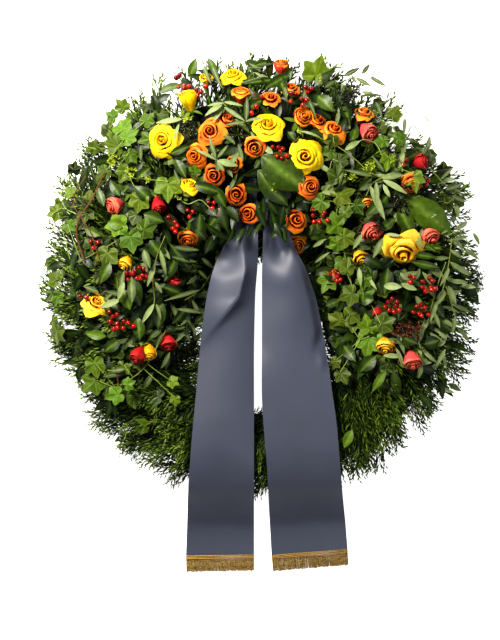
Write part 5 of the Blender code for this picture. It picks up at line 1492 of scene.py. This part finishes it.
def left_folds(px, py, u):
    """A ridge runs down the right half, then turns to the left edge. It climbs slowly from its upper
    left, where the light falls on it, and drops steeply on its other side."""
    line = np.interp(py, (236, 270, 298, 338, 360), (242, 246, 239, 206, 190))
    gap = (line - px) * np.interp(py, (285, 315), (1, 0.76))
    crest = 0.019 * smooth_step(py, 232, 280) * (1 - smooth_step(py, 300, 356))
    ridge = crest * np.where(gap > 0, np.exp(-gap / 24), np.exp(np.minimum(gap, 0) / 6.5))
    swell = 0.003 * bump_at(px, py, 214, 300, 16, 34, 20)
    valley = -0.013 * bump_at(px, py, 226, 261, 15, 13, -10)
    return ridge + swell + valley


def right_folds(px, py, u):
    """A pocket beside the left edge, a soft lip under it and puckers on the right edge, which is
    turned down."""
    pocket = -0.015 * bump_at(px, py, 281, 250, 10, 14, 6)
    lip = 0.003 * bump_at(px, py, 290, 278, 16, 12, -20)
    swell = 0.004 * bump_at(px, py, 292, 305, 18, 34, 0)
    pucker = -0.005 * bump_at(px, py, 318, 342, 4, 9, 12) + 0.003 * bump_at(px, py, 323, 360, 4, 8, 10)
    edge = -0.010 * smooth_step(u, 0.84, 1.0) * smooth_step(py, 255, 285) * (1 - smooth_step(py, 330, 380))
    return pocket + lip + swell + pucker + edge


# %% [markdown]
# Satin floats its warp threads over the surface, so it shines along them and shows almost no weave.
# Real threads are a tenth of a millimetre apart, far finer than the picture can show, so the weave
# here is drawn at 1.2 mm, very faintly.

# %% Satin
satin, tree, shader = new_material(
    "polyester satin", Roughness=0.50, IOR=1.45, Sheen_Weight=0.25, Sheen_Roughness=0.4,
    Sheen_Tint=(*linear("#c4c8dc"), 1),
)
THREAD = 0.0012
# A wave node at scale 1 shows about 3.2 bands to a metre.
BANDS_AT_ONE = 3.2
# Patches of uneven dye and press, about 70 mm wide, which makes 14 to a metre.
PATCHES = 14.0
cloth = add(tree, "ShaderNodeUVMap", uv_map="cloth").outputs[0]
threads = {"Vector": cloth, "Scale": 1 / THREAD / BANDS_AT_ONE, "Distortion": 0.4}
warp = add(tree, "ShaderNodeTexWave", threads, wave_type="BANDS", bands_direction="X")
cloud = add(tree, "ShaderNodeTexNoise", {"Vector": cloth, "Scale": PATCHES, "Detail": 2.0})
give_two_tones(tree, shader, cloud.outputs[0], "#3c404d", "#454959")
give_relief(tree, shader, warp.outputs["Fac"], 0.05, 0.0003)
MATERIALS["satin"] = satin


def lay_cloth(piece, grid, width, length):
    """UVs in metres of cloth, in even steps across by the column and along by the row."""
    mesh = piece.data
    rows, columns = grid.shape[1:3]
    across, along = np.meshgrid(np.linspace(0, width, columns), np.linspace(0, length, rows))
    flat = np.stack((across, along), axis=-1)
    both = np.concatenate((flat.reshape(-1, 2), flat.reshape(-1, 2)))
    corners = np.empty(len(mesh.loops), np.int32)
    mesh.loops.foreach_get("vertex_index", corners)
    layer = mesh.uv_layers.new(name="cloth")
    layer.data.foreach_set("uv", both[corners].astype(np.float32).ravel())


# Stations, folds and the shift of the pleats across each tail.
TAILS = {"left": (LEFT_TAIL, left_folds, 0.08), "right": (RIGHT_TAIL, right_folds, 0.20)}
SATIN_THICKNESS = 0.0005
SATIN_SKIN = linear("#5c606e")
tails = {}
for hand, (stations, folds, phase) in TAILS.items():
    grid = tail_grid(stations, folds, phase)
    middle = grid[0, :, TAIL_COLUMNS // 2]
    length = float(np.linalg.norm(np.diff(middle, axis=0), axis=1).sum())
    # Rows run down the photograph, so they are turned round for the sheet's first face to be its top.
    points, faces = sheets(grid[:, ::-1], SATIN_THICKNESS)
    part = (points, faces, SATIN_SKIN, "satin")
    piece = piece_of(f"satin_tail_{hand}", [part], "satin", [f"ribbon_tail_{hand}"])
    lay_cloth(piece, grid, RIBBON_WIDTH, length)
    tails[hand] = (piece, grid, length)
    print(hand, "tail is", round(length, 3), "m long")

# %% [markdown]
# ## The gold fringe
# Each tail ends in bullion fringe: a woven header, and under it a row of tightly twisted metallic
# cords. A cord is a tube whose radius swells and sinks along a slanting wave, which reads as twist.

# %% Fringe
FRINGE_LENGTH = 0.031
HEADER = 0.009
THREADS = 68
# How far down each braid of the header lies, and how high over the floor.
BRAIDS = (0.0012, 0.0038, 0.0064)
BRAID_HEIGHT = 0.0028
BRAID_RADIUS = 0.0015
BRAID_TURNS = 45
CORD_RADIUS = 0.00128
CORD_TURNS = 7
CORD_HEIGHT = 0.0020
BULLION_SKIN = linear("#b8964e")
BRAID_SKIN = linear("#c89a48")


def gold_material(name, dark, light, twist_mm):
    """Metallised thread: lumps of light and dark gold, half metal because it is film on a core."""
    material, tree, shader = new_material(name, Roughness=0.38, Metallic=0.55)
    lumps = noise_of(tree, twist_mm, 2.0)
    share = add(tree, "ShaderNodeMapRange", {0: lumps, 1: 0.35, 2: 0.65})
    give_two_tones(tree, shader, share.outputs[0], dark, light)
    give_relief(tree, shader, lumps, 0.5, 0.0006)
    return material


MATERIALS["bullion"] = gold_material("gold bullion thread", "#5c4516", "#ae9156", 2.2)
MATERIALS["braid"] = gold_material("gold braid", "#6c5019", "#b89450", 2.0)


def fringe(grid, seed):
    """The header is three wavy braids along the tail's end; the cords hang on from it, side by side,
    each with its own small sway and a girth that swells with its twist."""
    draw = np.random.default_rng(seed)
    left, right = grid[0, -1, 0], grid[0, -1, -1]
    across = (right - left) * (1, 1, 0)
    down = unit(np.array((across[1], -across[0], 0)))
    base = left * (1, 1, 0)
    share = np.linspace(0, 1, 90)
    girth = BRAID_RADIUS + 0.0002 * np.sin(2 * np.pi * 2 * BRAID_TURNS * share)
    parts = []
    for strand, offset in enumerate(BRAIDS):
        wave = 0.0005 * np.sin(2 * np.pi * BRAID_TURNS * share + strand * np.pi)
        line = base + share[:, None] * across + down * (offset + wave)[:, None] + UP * BRAID_HEIGHT
        parts.append((*tubes(line[None], girth[None], 6, UP), BRAID_SKIN, "braid"))
    start = np.linspace(0.008, 0.992, THREADS) + draw.uniform(-0.002, 0.002, THREADS)
    v = np.linspace(0, 1, 17)
    sway = draw.uniform(-0.0007, 0.0007, (THREADS, 1))
    reach = (FRINGE_LENGTH - HEADER) * draw.uniform(0.93, 1.03, (THREADS, 1))
    line = base + start[:, None, None] * across
    line = line + down * (HEADER - 0.001 + reach * v)[..., None]
    line = line + unit(right - left) * (sway * v**2)[..., None]
    level = CORD_HEIGHT + draw.uniform(-0.0004, 0.0006, (THREADS, 1)) + 0.0003 * np.sin(9 * v)
    line = line + level[..., None] * UP
    twist = CORD_TURNS * v[None] + draw.uniform(0, 1, (THREADS, 1))
    swell = CORD_RADIUS + 0.00018 * np.sin(2 * np.pi * twist)
    parts.append((*tubes(line, swell, 5, UP), BULLION_SKIN, "bullion"))
    return parts


for hand, (piece, grid, length) in tails.items():
    trim = piece_of(f"bullion_fringe_{hand}", fringe(grid, 5), "gold_thread", [f"gold_fringe_{hand}"], 70)
    tails[hand] = (piece, grid, length, trim)

# %% [markdown]
# ## What the florist hides
# The tray is moulded plastic, the ring is open-cell foam and the ribbon is held by plain wire. Their
# shapes are right as they are, so each solid keeps its mesh and only gets its finish.

# %% Tray, foam and wire
def finish_of(name, node, dark, light, grain_mm, strength, **sockets):
    """Two tones and a relief of one grain, put on a plain solid's own mesh."""
    material, tree, shader = new_material(name, **sockets)
    grain = noise_of(tree, grain_mm, 4.0)
    give_two_tones(tree, shader, grain, dark, light)
    give_relief(tree, shader, grain, strength, 0.0005)
    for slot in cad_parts[node].material_slots:
        slot.material = material
    print(node, "is", name)


# Moulded in green, with a soft shine from the polished mould.
finish_of("moulded polypropylene", "base_tray", "#12301a", "#1c4426", 6, 0.1, Roughness=0.38, IOR=1.49)
# Open cells 1.5 mm wide, dull as chalk.
finish_of("phenolic foam", "foam_ring", "#1f4a2a", "#2f6a3c", 1.5, 0.8, Roughness=0.95, IOR=1.4)
# Bare iron wire, dark grey from the annealing oven.
finish_of("annealed wire", "ribbon_wire", "#3a3a38", "#5a5a56", 3, 0.2, Roughness=0.4, Metallic=1.0)

# %% [markdown]
# ## Cloth facts
# Each tail is one strip of ribbon, cut straight across, with its fringe sewn on.

# %% [markdown]
# ## Floor and light
# A white sweep, one large soft light from the upper left and a weaker one from the right, as in a
# product picture. The world fills in the shadows.

# %% Stage
FLOOR_REACH = 6
FLOOR_CORNERS = ((-1, -1, 0), (1, -1, 0), (1, 1, 0), (-1, 1, 0))
floor_mesh = bpy.data.meshes.new("floor")
floor_mesh.from_pydata(FLOOR_REACH * np.array(FLOOR_CORNERS), [], [(0, 1, 2, 3)])
floor = bpy.data.objects.new("floor", floor_mesh)
bpy.context.scene.collection.objects.link(floor)
# Paper that gives off some light of its own stays as white as the photograph's cut-out.
paper, _, _ = new_material(
    "white paper sweep", Base_Color=(0.95, 0.95, 0.95, 1), Roughness=0.9,
    Emission_Color=(1, 1, 1, 1), Emission_Strength=0.85,
)
floor_mesh.materials.append(paper)


def soft_light(name, at, size, power, colour):
    """A square area light that looks at the wreath's middle."""
    light = bpy.data.lights.new(name, "AREA")
    light.size = size
    light.energy = power
    light.color = linear(colour)
    lamp = bpy.data.objects.new(name, light)
    lamp.location = at
    lamp.rotation_euler = (Vector((0, 0, 0)) - Vector(at)).to_track_quat("-Z", "Y").to_euler()
    bpy.context.scene.collection.objects.link(lamp)


soft_light("key", (-0.75, 1.0, 1.4), 0.6, 70, "#fffaf2")
soft_light("fill", (1.1, -1.2, 1.9), 1.4, 15, "#f4f8ff")
world = bpy.data.worlds.new("studio")
bpy.context.scene.world = world
world.use_nodes = True
world.node_tree.nodes["Background"].inputs["Color"].default_value = (1, 1, 1, 1)
world.node_tree.nodes["Background"].inputs["Strength"].default_value = 0.10
bpy.context.scene.view_settings.view_transform = "Standard"
bpy.context.scene.view_settings.look = "Medium High Contrast"
